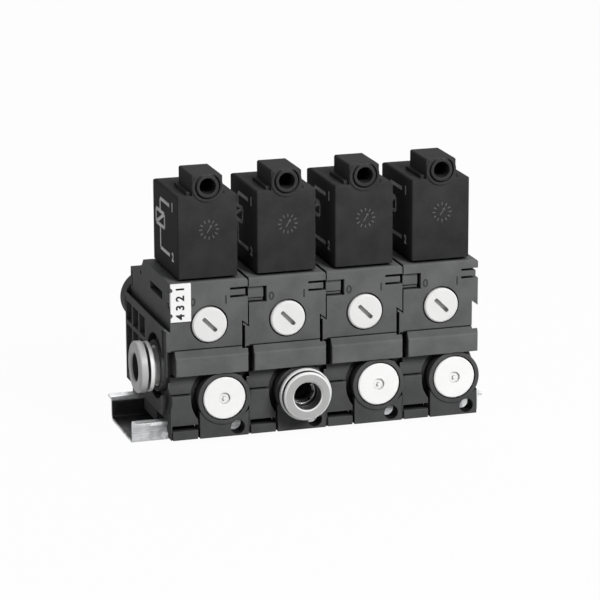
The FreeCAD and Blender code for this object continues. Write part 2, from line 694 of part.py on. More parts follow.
def head_form():
    """The coil's moulded body: eased edges, a rounded rear top and a foot set in below."""
    x0 = HEAD_X - HEAD_WIDTH / 2
    x1 = x0 + HEAD_WIDTH
    y0 = at_depth(HEAD_SETBACK)
    y1 = y0 + HEAD_DEPTH
    bottom = BODY_TOP + HEAD_GAP
    form = box(x0, x1, y0, y1, bottom, HEAD_TOP)
    plan = form.makeFillet(HEAD_EDGE, edges_along(form, ALONG_Z, lambda p: near(p.y, y0)))
    plan = plan.makeFillet(HEAD_REAR_CORNER, edges_along(plan, ALONG_Z, lambda p: near(p.y, y1)))
    front_view = form.makeFillet(HEAD_TOP_EDGE, edges_along(
        form, ALONG_Y, lambda p: near(p.z, HEAD_TOP)))
    side_view = form.makeFillet(HEAD_REAR_ROUND, edges_along(
        form, ALONG_X, lambda p: near(p.y, y1) and near(p.z, HEAD_TOP)))
    side_view = side_view.makeChamfer(HEAD_FRONT_BEVEL, edges_along(
        side_view, ALONG_X, lambda p: near(p.y, y0) and near(p.z, HEAD_TOP)))
    inset = HEAD_FOOT_INSET
    foot = box(x0 + inset, x1 - inset, y0 + inset, y1 - inset, BODY_TOP, bottom + 1)
    return plan.common(front_view).common(side_view).fuse(foot)


def make_pilot_head():
    """Moulded coil with its cable socket on top and the armature chamber inside."""
    x0 = HEAD_X - HEAD_WIDTH / 2
    y0 = at_depth(HEAD_SETBACK)
    head = head_form()
    half_plinth = PLINTH_WIDTH / 2
    plinth = box(HEAD_X - half_plinth, HEAD_X + half_plinth, y0 + PLINTH_INSET,
                 y0 + BLOCK_DEPTH, HEAD_TOP - 1, HEAD_TOP + PLINTH_HEIGHT)
    half_block = BLOCK_WIDTH / 2
    block = box(HEAD_X - half_block, HEAD_X + half_block, y0, y0 + BLOCK_DEPTH, HEAD_TOP - 1,
                BLOCK_TOP)
    top_edges = edges_along(block, ALONG_Y, lambda p: near(p.z, BLOCK_TOP))
    block = block.makeChamfer(BLOCK_BEVEL, top_edges)
    collar = cyl_y(COLLAR_RADIUS, HEAD_X, y0 - COLLAR_PROUD, y0 + 1, ENTRY_Z)
    under = box(x0, x0 + HEAD_WIDTH, y0 - 1, y0 + 1, BODY_TOP, BLOCK_TOP - BLOCK_BEVEL)
    lip = cyl_y(ENTRY_LIP_RADIUS, HEAD_X, y0 - COLLAR_PROUD - ENTRY_LIP_PROUD, y0, ENTRY_Z)
    axis_y = at_depth(ARMATURE_BACK)
    spigot = cyl_z(SPIGOT_RADIUS, HEAD_X, axis_y, BODY_TOP - SPIGOT_LENGTH, BODY_TOP + 1)
    head = head.fuse([plinth, block, collar.common(under), lip.common(under), spigot])
    mouth = y0 - COLLAR_PROUD - ENTRY_LIP_PROUD
    entry = cyl_y(ENTRY_RADIUS, HEAD_X, mouth - 1, mouth + ENTRY_DEPTH, ENTRY_Z)
    well = cyl_y(CONTACT_WELL_RADIUS, HEAD_X, mouth, mouth + ENTRY_DEPTH + CONTACT_WELL_DEPTH,
                 ENTRY_Z)
    chamber = cyl_z(ARMATURE_RADIUS + SLIP, HEAD_X, axis_y, BODY_TOP, CHAMBER_TOP - SLIP)
    chamber = chamber.fuse([core_form(SLIP), winding_form(SLIP)])
    nozzle = cyl_z(ARMATURE_STEM_RADIUS + 2 * SLIP, HEAD_X, axis_y, BODY_TOP - SPIGOT_LENGTH - 1,
                   BODY_TOP + 1)
    groove_top = BODY_TOP - (SPIGOT_LENGTH - SEAL_WIDTH) / 2
    groove = ring(SPIGOT_RADIUS - SEAL_GROOVE, SPIGOT_RADIUS + 1, groove_top - SEAL_WIDTH, groove_top)
    groove.translate(V(HEAD_X, axis_y, 0))
    trough = ring(ENTRY_LIP_RADIUS, ENTRY_LIP_RADIUS + COLLAR_GROOVE_WIDTH,
                  COLLAR_PROUD - COLLAR_GROOVE_DEPTH, COLLAR_PROUD + 1)
    trough = facing_front(trough, HEAD_X, y0, ENTRY_Z)
    return head.cut([entry, well, chamber, nozzle, groove, trough])


def core_form(grow):
    """Flanged iron core above the armature, or the seat for it when grown by a clearance."""
    top = CHAMBER_TOP + CORE_LENGTH
    core = cyl_z(ARMATURE_RADIUS + grow, HEAD_X, at_depth(ARMATURE_BACK),
                 ARMATURE_TOP + ARMATURE_LIFT + SLIP, top + grow)
    flange = cyl_z(CORE_FLANGE_RADIUS + grow, HEAD_X, at_depth(ARMATURE_BACK),
                   top - CORE_FLANGE_THICK - grow, top + grow)
    return core.fuse(flange)


def winding_form(grow):
    """Copper winding round the armature chamber, or the room for it."""
    winding = ring(WINDING_INNER - grow, WINDING_OUTER + grow,
                   ARMATURE_Z + WINDING_START - grow, CHAMBER_TOP + grow)
    winding.translate(V(HEAD_X, at_depth(ARMATURE_BACK), 0))
    return winding


def make_core():
    """Fixed core with the upper half of the spring's pocket."""
    reach = ARMATURE_SPRING_RADIUS + 2 * ARMATURE_SPRING_WIRE
    pocket = cyl_z(reach, HEAD_X, at_depth(ARMATURE_BACK), ARMATURE_TOP, CHAMBER_TOP)
    return core_form(0).cut(pocket)


def make_head_seal():
    """Ring in the spigot's groove."""
    top = BODY_TOP - (SPIGOT_LENGTH - SEAL_WIDTH) / 2 - SLIP
    seal = ring(SPIGOT_RADIUS - SEAL_GROOVE + SLIP, SPIGOT_RADIUS, top - SEAL_WIDTH + 2 * SLIP, top)
    seal.translate(V(HEAD_X, at_depth(ARMATURE_BACK), 0))
    return seal


def make_contact():
    """Contact pin at the bottom of the cable socket."""
    mouth = at_depth(HEAD_SETBACK) - COLLAR_PROUD - ENTRY_LIP_PROUD
    end = mouth + ENTRY_DEPTH + CONTACT_WELL_DEPTH
    return cyl_y(CONTACT_RADIUS, HEAD_X - CONTACT_OFFSET, mouth + ENTRY_DEPTH + SLIP, end,
                 ENTRY_Z - CONTACT_OFFSET * 0.75)


def make_armature():
    """Iron armature with its stem, lifting foot and spring pocket."""
    foot_z = OVERRIDE_Z + OVERRIDE_CAM_OFFSET + OVERRIDE_CAM_RADIUS + ARMATURE_FOOT_GAP
    pocket = ARMATURE_TOP - ARMATURE_SPRING_POCKET
    inner = ARMATURE_SPRING_RADIUS + 2 * ARMATURE_SPRING_WIRE
    armature = turned([
        (0, foot_z),
        (ARMATURE_FOOT_RADIUS, foot_z),
        (ARMATURE_FOOT_RADIUS, foot_z + ARMATURE_FOOT_THICK),
        (ARMATURE_STEM_RADIUS, foot_z + ARMATURE_FOOT_THICK),
        (ARMATURE_STEM_RADIUS, ARMATURE_Z),
        (ARMATURE_RADIUS, ARMATURE_Z),
        (ARMATURE_RADIUS, ARMATURE_TOP),
        (inner, ARMATURE_TOP),
        (inner, pocket),
        (0, pocket),
    ])
    armature.translate(V(HEAD_X, at_depth(ARMATURE_BACK), 0))
    return armature


def make_armature_spring():
    """Small spring that holds the armature down on its seat."""
    spring = coil_spring(ARMATURE_SPRING_RADIUS, ARMATURE_SPRING_WIRE, ARMATURE_SPRING_TURNS,
                         ARMATURE_TOP - ARMATURE_SPRING_POCKET + SLIP, CHAMBER_TOP - SLIP)
    spring.translate(V(HEAD_X, at_depth(ARMATURE_BACK), 0))
    return spring


def make_override():
    """Slotted override screw with its sealed stem and eccentric pin."""
    head_end = OVERRIDE_SINK - 2 * SLIP
    seal_start = OVERRIDE_SEAL_AT
    bottom = OVERRIDE_STEM_RADIUS - SEAL_GROOVE
    edge = OVERRIDE_PROUD / 2
    screw = turned([
        (0, OVERRIDE_PROUD),
        (OVERRIDE_RADIUS - edge, OVERRIDE_PROUD),
        (OVERRIDE_RADIUS, OVERRIDE_PROUD - edge),
        (OVERRIDE_RADIUS, -head_end),
        (OVERRIDE_STEM_RADIUS, -head_end),
        (OVERRIDE_STEM_RADIUS, -seal_start),
        (bottom, -seal_start),
        (bottom, -seal_start - SEAL_WIDTH),
        (OVERRIDE_STEM_RADIUS, -seal_start - SEAL_WIDTH),
        (OVERRIDE_STEM_RADIUS, -OVERRIDE_STEM_END),
        (0, -OVERRIDE_STEM_END),
    ])
    half = OVERRIDE_SLOT_LENGTH / 2
    side = OVERRIDE_SLOT_WIDTH / 2
    slot = box(-half, half, -side, side, OVERRIDE_PROUD - OVERRIDE_SLOT_DEPTH, OVERRIDE_PROUD + 1)
    slot = slot.makeFillet(side * 0.8, edges_along(slot, ALONG_Z))
    slot.rotate(V(0, 0, 0), ALONG_Z, -OVERRIDE_SLOT_ANGLE)
    cam = cyl_z(OVERRIDE_CAM_RADIUS, -OVERRIDE_CAM_OFFSET, 0, -OVERRIDE_CAM_END, -OVERRIDE_STEM_END)
    screw = screw.cut(slot).fuse(cam)
    return facing_front(screw, OVERRIDE_X, FRONT, OVERRIDE_Z)


def make_override_seal():
    """Ring on the override's stem."""
    start = -OVERRIDE_SEAL_AT - SLIP
    seal = ring(OVERRIDE_STEM_RADIUS - SEAL_GROOVE + SLIP, OVERRIDE_STEM_RADIUS,
                start - SEAL_WIDTH + 2 * SLIP, start)
    return facing_front(seal, OVERRIDE_X, FRONT, OVERRIDE_Z)


def make_spool():
    """Main spool with its lands and the pocket for its spring."""
    points = [(0, SPOOL_BOTTOM + SPOOL_POCKET_DEPTH),
              (SPOOL_POCKET_RADIUS, SPOOL_BOTTOM + SPOOL_POCKET_DEPTH),
              (SPOOL_POCKET_RADIUS, SPOOL_BOTTOM)]
    first = SPOOL_BOTTOM + SPOOL_POCKET_DEPTH + SPOOL_LAND / 2
    step = (SPOOL_TOP - first - SPOOL_LAND) / (SPOOL_LANDS - 1)
    points.append((SPOOL_RADIUS, SPOOL_BOTTOM))
    points.append((SPOOL_RADIUS, first))
    for land in range(1, SPOOL_LANDS):
        start = first + land * step
        end = start + SPOOL_LAND if land == SPOOL_LANDS - 1 else start + SPOOL_LAND / 2
        points.append((SPOOL_WAIST_RADIUS, points[-1][1]))
        points.append((SPOOL_WAIST_RADIUS, start))
        points.append((SPOOL_RADIUS, start))
        points.append((SPOOL_RADIUS, end))
    points.append((0, SPOOL_TOP))
    spool = turned(points)
    spool.translate(V(SPOOL_X, at_depth(SPOOL_BACK), 0))
    return spool


def make_spool_spring():
    """Return spring between the screwed cap and the spool's pocket."""
    spring = coil_spring(SPOOL_SPRING_RADIUS, SPOOL_SPRING_WIRE, SPOOL_SPRING_TURNS,
                         SPRING_SEAT + SLIP, SPOOL_BOTTOM + SPOOL_POCKET_DEPTH - SLIP)
    spring.translate(V(SPOOL_X, at_depth(SPOOL_BACK), 0))
    return spring


def make_bottom_cap():
    """Screwed cap that closes the spool bore from below."""
    y = at_depth(SPOOL_BACK)
    cap = cyl_z(CAP_RADIUS, SPOOL_X, y, CAP_BOTTOM, SPRING_SEAT)
    half = CAP_SLOT_WIDTH / 2
    slot = box(SPOOL_X - CAP_RADIUS - 1, SPOOL_X + CAP_RADIUS + 1, y - half, y + half,
               CAP_BOTTOM - 1, CAP_BOTTOM + CAP_SLOT_DEPTH)
    return cap.cut(slot)


def make_latch():
    """Sliding rail latch: finger tab in front, bar, and a nose under the rail's flange."""
    nose_top = RAIL_HEIGHT - RAIL_SHEET - LATCH_NOSE_GAP
    tab = at_depth(2 * SLIP)
    nose = -RAIL_WIDTH / 2 + FLANGE_CLEAR
    nose_end = -RAIL_WEB / 2 - LATCH_WALL_GAP + FLANGE_CLEAR
    profile = [
        (tab, BODY_BOTTOM + SLIP),
        (tab + LATCH_TAB_THICK, BODY_BOTTOM + SLIP),
        (tab + LATCH_TAB_THICK, LATCH_BAR_BOTTOM),
        (nose_end, LATCH_BAR_BOTTOM),
        (nose_end, nose_top),
        (nose, nose_top),
        (nose - 1, LATCH_TOP),
        (tab, LATCH_TOP),
    ]
    return prism_x(profile, LATCH_LEFT + LATCH_SIDE_GAP, LATCH_RIGHT - LATCH_SIDE_GAP)


def cartridge(outer, socket_end):
    """Bored cartridge: an outer outline closed by the ring bore, tube socket and stop."""
    mouth = outer[-1][1]
    sleeve_end = mouth - RING_SLEEVE_LENGTH + RING_GAP - RING_TRAVEL
    stop_end = outer[0][1]
    return turned(outer + [
        (RING_SLEEVE_RADIUS + SLIP, mouth),
        (RING_SLEEVE_RADIUS + SLIP, sleeve_end),
        (TUBE_RADIUS, sleeve_end),
        (TUBE_RADIUS, socket_end),
        (CARTRIDGE_STOP_RADIUS, socket_end),
        (CARTRIDGE_STOP_RADIUS, stop_end),
    ])


def release_ring(radius, thick, mouth):
    """Release ring whose sleeve runs in the cartridge; mouth is the cartridge's face."""
    low = mouth + RING_GAP
    top = low + thick
    return turned([
        (RING_BORE_RADIUS, low - RING_SLEEVE_LENGTH),
        (RING_SLEEVE_RADIUS, low - RING_SLEEVE_LENGTH),
        (RING_SLEEVE_RADIUS, low),
        (radius, low),
        (radius, top - RING_CHAMFER),
        (radius - RING_CHAMFER, top),
        (RING_BORE_RADIUS + RING_CHAMFER, top),
        (RING_BORE_RADIUS, top - RING_CHAMFER),
    ])


def port_insert(inner_depth, mouth):
    """Outline of the stepped part of a cartridge, from its inner end out to a height."""
    end = -PORT_SEAT_DEPTH - inner_depth + SLIP
    step = -PORT_SEAT_DEPTH + SLIP
    return [
        (CARTRIDGE_STOP_RADIUS, end),
        (PORT_INNER_RADIUS - SLIP, end),
        (PORT_INNER_RADIUS - SLIP, step),
        (PORT_SEAT_RADIUS - SLIP, step),
        (PORT_SEAT_RADIUS - SLIP, mouth),
    ]


def front_cartridge():
    """Cartridge of the front port, which stands off the boss on its neck; +Z points outwards."""
    outer = port_insert(PORT_INNER_DEPTH, -SLIP) + [
        (FRONT_NECK_RADIUS, -SLIP),
        (FRONT_NECK_RADIUS, FRONT_NECK_LENGTH),
        (FLANGE_RADIUS, FRONT_NECK_LENGTH),
        (FLANGE_RADIUS, FRONT_NECK_LENGTH + FLANGE_THICK),
    ]
    return cartridge(outer, outer[0][1] + CARTRIDGE_STOP_THICK)


def supply_cartridge():
    """Cartridge of the supply port, which stands off the module on its neck."""
    end = -SUPPLY_SEAT_DEPTH + SLIP
    top = SUPPLY_NECK_LENGTH + FLANGE_THICK
    outer = [
        (CARTRIDGE_STOP_RADIUS, end),
        (SUPPLY_SEAT_RADIUS, end),
        (SUPPLY_SEAT_RADIUS, -SLIP),
        (SUPPLY_NECK_RADIUS, -SLIP),
        (SUPPLY_NECK_RADIUS, SUPPLY_NECK_LENGTH),
        (SUPPLY_FLANGE_RADIUS, SUPPLY_NECK_LENGTH),
        (SUPPLY_FLANGE_RADIUS, top),
    ]
    return cartridge(outer, end + CARTRIDGE_STOP_THICK)


def rear_cartridge():
    """Cartridge that lies flush in the rear boss."""
    outer = port_insert(REAR_INNER_DEPTH, -FLANGE_CLEAR)
    return cartridge(outer, outer[0][1] + CARTRIDGE_STOP_THICK)


def make_plug():
    """Blanking plug for a front port, with a small nub in a shallow round dimple."""
    insert = port_insert(PORT_INNER_DEPTH, PLUG_PROUD - PLUG_HEAD_LENGTH)
    shoulder = insert[-1][1]
    dimple = PLUG_PROUD - PLUG_DIMPLE_DEPTH
    plug = turned([(0, insert[0][1])] + insert[1:] + [
        (PLUG_RADIUS, shoulder),
        (PLUG_RADIUS, PLUG_PROUD - PLUG_CHAMFER),
        (PLUG_RADIUS - PLUG_CHAMFER, PLUG_PROUD),
        (PLUG_DIMPLE_RADIUS, PLUG_PROUD),
        (PLUG_DIMPLE_RADIUS, dimple),
        (PLUG_NUB_RADIUS, dimple),
        (PLUG_NUB_RADIUS, PLUG_PROUD),
        (0, PLUG_PROUD),
    ])
    return facing_front(plug, PORT_X, PORT_FACE, PORT_Z)


def make_coupling():
    """Sleeve that carries the supply from one module's right face into the next module."""
    spigot = COUPLING_REACH + JOINT_GAP - SLIP
    sleeve = turned([
        (CHANNEL_RADIUS, -SUPPLY_SEAT_DEPTH + SLIP),
        (SUPPLY_SEAT_RADIUS, -SUPPLY_SEAT_DEPTH + SLIP),
        (SUPPLY_SEAT_RADIUS, -SLIP),
        (COUPLING_RADIUS, -SLIP),
        (COUPLING_RADIUS, spigot),
        (CHANNEL_RADIUS, spigot),
    ])
    return facing_left(sleeve, -HOOK_STEP, at_depth(SUPPLY_BACK), SUPPLY_Z)


def make_end_plug():
    """Plug that closes the supply channel in the last module's right face."""
    y = at_depth(SUPPLY_BACK)
    plug = cyl_x(COUPLING_RADIUS, RIGHT_FACE - COUPLING_REACH + SLIP, RIGHT_FACE, y, SUPPLY_Z)
    half = CAP_SLOT_WIDTH / 2
    slot = box(RIGHT_FACE - CAP_SLOT_DEPTH, RIGHT_FACE + 1, y - half, y + half,
               SUPPLY_Z - COUPLING_RADIUS - 1, SUPPLY_Z + COUPLING_RADIUS + 1)
    return plug.cut(slot)


def make_marker():
    """Marker plate over the first module's recess, with two notches in its left edge."""
    face = at_depth(-MARKER_THICK)
    top = BODY_TOP - 2 * SLIP
    plate = box(SLIP, MARKER_WIDTH, face, FRONT, MARKER_BOTTOM, top)
    tail = box(2 * SLIP, RECESS_WIDTH - SLIP, FRONT, at_depth(RECESS_PLATE_DEPTH - RECESS_LINE / 2),
               RECESS_BOTTOM + RECESS_LINE, RECESS_TOP - SLIP)
    plate = plate.fuse(tail)
    third = (top - MARKER_BOTTOM) / 6
    for z in (MARKER_BOTTOM + third, top - third):
        plate = plate.cut(cyl_y(MARKER_NOTCH_RADIUS, 0, face - 1, FRONT + 1, z))
    return plate


def make_rail():
    """Pressed top-hat rail with rounded bends."""
    flange = RAIL_WIDTH / 2
    web = RAIL_WEB / 2
    sheet = RAIL_SHEET
    top = RAIL_HEIGHT
    points = [
        (-web, 0), (web, 0), (web, top - sheet), (flange, top - sheet), (flange, top),
        (web - sheet, top), (web - sheet, sheet), (-web + sheet, sheet), (-web + sheet, top),
        (-flange, top), (-flange, top - sheet), (-web, top - sheet),
    ]
    left = station_left(0) - RAIL_LEFT_END
    right = station_left(STATIONS) + RAIL_RIGHT_END
    rail = prism_x(points, left, right)
    outer = [(web, 0), (web - sheet, top)]
    inner = [(web - sheet, sheet), (web, top - sheet)]
    for corners, radius in ((outer, RAIL_BEND + sheet), (inner, RAIL_BEND)):
        bends = edges_along(rail, ALONG_X, lambda p: any(
            near(abs(p.y), y) and near(p.z, z) for y, z in corners))
        rail = rail.makeFillet(radius, bends)
    return rail


def shifted(shape, index):
    """A copy of a module's piece at its station."""
    copy = shape.copy()
    copy.translate(V(station_left(index), 0, 0))
    return copy


def grouped(shape, indices):
    """Copies of one small piece at several stations, as separate solids."""
    return Part.makeCompound([shifted(shape, i) for i in indices])


def save(name, shape):
    """Write one sub-part."""
    shape.exportStep("parts/" + name + ".step")


def main():
    """Build every sub-part and write it."""
    os.makedirs("parts", exist_ok=True)
    rear_ring = release_ring(REAR_RING_RADIUS, RING_THICK, -FLANGE_CLEAR)
    per_station = {
        "housing": make_housing(),
        "pilot_head": make_pilot_head(),
        "armature": make_armature(),
        "armature_spring": make_armature_spring(),
        "override_screw": make_override(),
        "spool": make_spool(),
        "spool_spring": make_spool_spring(),
        "bottom_cap": make_bottom_cap(),
        "rail_latch": make_latch(),
        "rear_cartridge": facing_rear(rear_cartridge(), REAR_PORT_X, REAR_FACE, REAR_PORT_Z),
        "rear_release_ring": facing_rear(rear_ring, REAR_PORT_X, REAR_FACE, REAR_PORT_Z),
    }
    for index in range(STATIONS):
        for name, shape in per_station.items():
            save(name + "_" + str(index + 1), shifted(shape, index))

    fitted = 1
    plug = make_plug()
    for index in range(STATIONS):
        if index != fitted:
            save("port_plug_" + str(index + 1), shifted(plug, index))
    front = facing_front(front_cartridge(), PORT_X, PORT_FACE, PORT_Z)
    front_ring = release_ring(RING_RADIUS, RING_THICK, FRONT_NECK_LENGTH + FLANGE_THICK)
    front_ring = facing_front(front_ring, PORT_X, PORT_FACE, PORT_Z)
    save("front_cartridge", shifted(front, fitted))
    save("front_release_ring", shifted(front_ring, fitted))

    channel_y = at_depth(SUPPLY_BACK)
    supply = facing_left(supply_cartridge(), -HOOK_STEP, channel_y, SUPPLY_Z)
    supply_ring = release_ring(SUPPLY_RING_RADIUS, SUPPLY_RING_THICK,
                               SUPPLY_NECK_LENGTH + FLANGE_THICK)
    supply_ring = facing_left(supply_ring, -HOOK_STEP, channel_y, SUPPLY_Z)
    save("supply_cartridge", shifted(supply, 0))
    save("supply_release_ring", shifted(supply_ring, 0))
    save("channel_couplings", grouped(make_coupling(), range(1, STATIONS)))
    save("channel_end_plug", shifted(make_end_plug(), STATIONS - 1))

    save("override_seals", grouped(make_override_seal(), range(STATIONS)))
    save("head_seals", grouped(make_head_seal(), range(STATIONS)))
    save("contact_pins", grouped(make_contact(), range(STATIONS)))
    save("pole_cores", grouped(make_core(), range(STATIONS)))
    save("coil_windings", grouped(winding_form(0), range(STATIONS)))
    save("marker_plate", shifted(make_marker(), 0))
    save("top_hat_rail", make_rail())


main()
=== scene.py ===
"""Looks of the four-station pneumatic valve block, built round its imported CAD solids."""
import math

import bmesh
import bpy
from mathutils import Matrix, Vector


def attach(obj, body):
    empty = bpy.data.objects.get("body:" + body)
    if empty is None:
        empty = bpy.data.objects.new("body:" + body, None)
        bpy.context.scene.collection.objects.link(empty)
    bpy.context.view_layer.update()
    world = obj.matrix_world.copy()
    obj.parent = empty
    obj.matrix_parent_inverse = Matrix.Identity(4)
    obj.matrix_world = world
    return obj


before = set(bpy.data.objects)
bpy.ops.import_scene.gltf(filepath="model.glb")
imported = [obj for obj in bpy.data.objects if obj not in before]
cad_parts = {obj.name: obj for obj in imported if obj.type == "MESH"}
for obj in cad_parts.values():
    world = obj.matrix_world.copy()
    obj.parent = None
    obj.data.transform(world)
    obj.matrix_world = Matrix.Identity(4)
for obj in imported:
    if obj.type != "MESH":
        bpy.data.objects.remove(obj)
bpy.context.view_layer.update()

# Places and sizes are in millimetres and MM turns them into metres. X runs along the
# rail, Y from the front to the rear and Z up, as in the solids.
MM = 0.001
STATIONS = (1, 2, 3, 4)
PLUGGED = (1, 3, 4)
PITCH = 25.0
FRONT = -22.5
BAND_FACE = -23.3
HEAD_FRONT = -21.2
HEAD_SIDE = 3.1
PORT_X = -8.2
PORT_FACE = -22.9
PORT_Z = 15.0
REAR_PORT_X = 6.4
REAR_FACE = 31.5
REAR_PORT_Z = 35.0
LEFT_FACE = -51.9
SUPPLY_Y = -10.7
SUPPLY_Z = 23.8
# The foot holes are painted dark inside, as shade, up to FOOT_HOLE_END along Y.
FOOT_HOLE_X = -3.9
FOOT_HOLE_Z = 5.3
FOOT_HOLE_RADIUS = 2.35
FOOT_HOLE_END = -17.2


# Finishes

# The stretch of a noise's values that is spread from 0 to 1.
NOISE_SPAN = (0.3, 0.7)
CLOUD_SIZE = 7.0
CLOUD_SHARE = 0.7
SPECKLE_SIZE = 0.35
# How far the roughness strays to each side of its middle.
SMOOTHER = 0.05
ROUGHER = 0.06
# How strongly edges are lightened, partly as wear and partly as painted highlight.
EDGE_GAIN = 2.2
EDGE_SHARE = 0.7
# How far gaps and pockets are looked for by the painted shade, and the openness at
# which they are painted darkest and left clear.
GAP_REACH = 1.6
GAP_SPAN = (0.15, 0.75)
POCKET_REACH = 5.0
POCKET_SPAN = (0.0, 0.7)
# Colour of the painted shade in gaps and pockets.
CREVICE_SHADE_LEVEL = 0.004
# Colour painted inside bores and the rail's channel: shade, and in the fittings also dark inner
# parts.
DARK_LEVEL = 0.012
# Widths of the soft rims of masks.
BAND_SOFT = 0.3
FACE_SOFT = 0.1
BORE_SOFT = 0.12
BORE_END_SOFT = 0.2
FINE_EDGE = 0.1


class Wire:
    """A value inside a finish; sums written on it become Math nodes."""

    def __init__(self, finish, socket):
        self.finish = finish
        self.socket = socket

    def __add__(self, other):
        return self.finish.maths("ADD", self, other)

    def __sub__(self, other):
        return self.finish.maths("SUBTRACT", self, other)

    def __rsub__(self, other):
        return self.finish.maths("SUBTRACT", other, self)

    def __mul__(self, other):
        return self.finish.maths("MULTIPLY", self, other)

    def __pow__(self, other):
        return self.finish.maths("POWER", self, other)

    __radd__ = __add__
    __rmul__ = __mul__


class Finish:
    """A material with one Principled shader, built up node by node."""

    def __init__(self, name, **fixed):
        self.material = bpy.data.materials.new(name)
        self.material.use_nodes = True
        self.tree = self.material.node_tree
        self.shader = self.tree.nodes["Principled BSDF"]
        for key, value in fixed.items():
            self.shader.inputs[key.replace("_", " ")].default_value = value

    def node(self, kind, settings=None, values=None, output=0):
        """Adds a node: its settings first, then its sockets' values or links."""
        made = self.tree.nodes.new(kind)
        for key, value in (settings or {}).items():
            setattr(made, key, value)
        for key, value in (values or {}).items():
            if isinstance(value, Wire):
                self.tree.links.new(value.socket, made.inputs[key])
            else:
                made.inputs[key].default_value = value
        return Wire(self, made.outputs[output])

    def feed(self, name, wire):
        """Links a value to one of the shader's sockets."""
        self.tree.links.new(wire.socket, self.shader.inputs[name])

    def maths(self, operation, *terms):
        """A Math node on wires and numbers."""
        return self.node("ShaderNodeMath", {"operation": operation}, dict(enumerate(terms)))

    def place(self):
        """The piece's own coordinates, in metres."""
        return self.node("ShaderNodeTexCoord", output="Object")

    def part(self, vector, axis):
        """One coordinate of a vector, 0, 1 or 2."""
        return self.node("ShaderNodeSeparateXYZ", {}, {"Vector": vector}, axis)

    def stretched(self, scale):
        """Own coordinates multiplied along each axis."""
        return self.node("ShaderNodeMapping", {}, {"Vector": self.place(), "Scale": scale})

    def noise(self, size, detail=2.0, vector=None):
        """Soft noise from 0 to 1 with blotches of about that size."""
        return self.node("ShaderNodeTexNoise", {}, {
            "Vector": vector or self.place(), "Scale": 1 / (size * MM), "Detail": detail})

    def ramp(self, wire, low, high, to_low=0.0, to_high=1.0):
        """Smooth step of a value between two levels."""
        return self.node("ShaderNodeMapRange", {"interpolation_type": "SMOOTHSTEP"}, {
            "Value": wire, "From Min": low, "From Max": high, "To Min": to_low, "To Max": to_high})

    def past(self, wire, limit, soft):
        """0 up to a limit and 1 from a soft rim's width beyond it."""
        return self.ramp(wire, limit * MM, (limit + soft) * MM)

    def up_to(self, wire, limit, soft):
        """1 up to a soft rim's width before a limit and 0 from the limit on."""
        return 1 - self.ramp(wire, (limit - soft) * MM, limit * MM)

    def height(self, low, high):
        """0 at one height over the floor and 1 at the other."""
        return self.ramp(self.part(self.place(), 2), low * MM, high * MM)

    def from_axis(self, across, upright):
        """Distance from a bore's axis; bores across X repeat at the stations' pitch."""
        spot = self.place()
        axis, centre = across
        aside = self.part(spot, axis) - centre * MM
        if axis == 0:
            aside = self.maths("WRAP", aside, PITCH / 2 * MM, -PITCH / 2 * MM)
        above = self.part(spot, 2) - upright * MM
        return (aside * aside + above * above) ** 0.5

    def mix(self, mask, first, second):
        """First colour where the mask is 0 and second where it is 1."""
        return self.node("ShaderNodeMix", {"data_type": "RGBA"}, {0: mask, 6: first, 7: second}, 2)

    def hollow(self, reach, darkest, clear):
        """1 where little of the open air is within reach, fading to 0 in the open."""
        openness = self.node("ShaderNodeAmbientOcclusion", {"samples": 8},
                             {"Distance": reach * MM}, 1)
        return 1 - self.ramp(openness, darkest, clear)

    def rounded(self, radius):
        """Surface direction with the edges eased by that radius."""
        return self.node("ShaderNodeBevel", {"samples": 6}, {"Radius": radius * MM})

    def edges(self, rounded, gain):
        """1 along the edges, fading to 0 on the flats."""
        flat = self.node("ShaderNodeNewGeometry", output="Normal")
        same = self.node("ShaderNodeVectorMath", {"operation": "DOT_PRODUCT"},
                         {0: rounded, 1: flat}, 1)
        return self.ramp((1 - same) * gain, 0.0, 1.0)

    def bump(self, wire, depth, rounded):
        """Surface direction with fine relief on top of the eased edges."""
        return self.node("ShaderNodeBump", {}, {
            "Strength": 1.0, "Distance": depth * MM, "Height": wire, "Normal": rounded})


def blend(first, second, share):
    """Two values added up, the first by that share and the second by the rest."""
    return first * share + second * (1 - share)


def grey(level, warm=0.0):
    """An almost neutral colour; warm leans it to yellow, or to blue below zero."""
    return (level * (1 + warm), level, level * (1 - warm), 1.0)


def shaded(finish, colour, low, high, share):
    """Paints shade that darkens a colour towards the floor, down to a share of it.

    The raised bands' faces catch the light and keep their colour.
    """
    off_band = finish.ramp(finish.part(finish.place(), 1),
                           (BAND_FACE - BAND_SOFT) * MM, BAND_FACE * MM)
    mask = (1 - finish.height(low, high)) * (1 - share) * off_band
    return finish.mix(mask, colour, grey(0.0))


def crevice_shaded(finish, colour, amount):
    """Paints shade into a colour in narrow gaps and in deep pockets."""
    gap = finish.hollow(GAP_REACH, *GAP_SPAN)
    pocket = finish.hollow(POCKET_REACH, *POCKET_SPAN)
    return finish.mix(finish.maths("MAXIMUM", gap, pocket) * amount, colour, grey(CREVICE_SHADE_LEVEL))


def bored(finish, colour, bore, bore_end, face, rim_colour):
    """Paints shade inside a bore, which in the fittings also stands for their dark inner
    parts, and a highlight on the rims on both sides of a ring's face.
    """
    across, upright, radius = bore
    away = finish.from_axis(across, upright)
    if face:
        inner, outer, rims = face
        flat = (finish.past(away, inner - FACE_SOFT, FACE_SOFT)
                - finish.past(away, outer, FACE_SOFT))
        colour = finish.mix((1 - flat) * rims, colour, rim_colour)
    inside = finish.up_to(away, radius, BORE_SOFT)
    if bore_end is not None:
        along = finish.part(finish.place(), 1)
        inside = inside * (1 - finish.past(along, bore_end, BORE_END_SOFT))
    return finish.mix(inside, colour, grey(DARK_LEVEL))


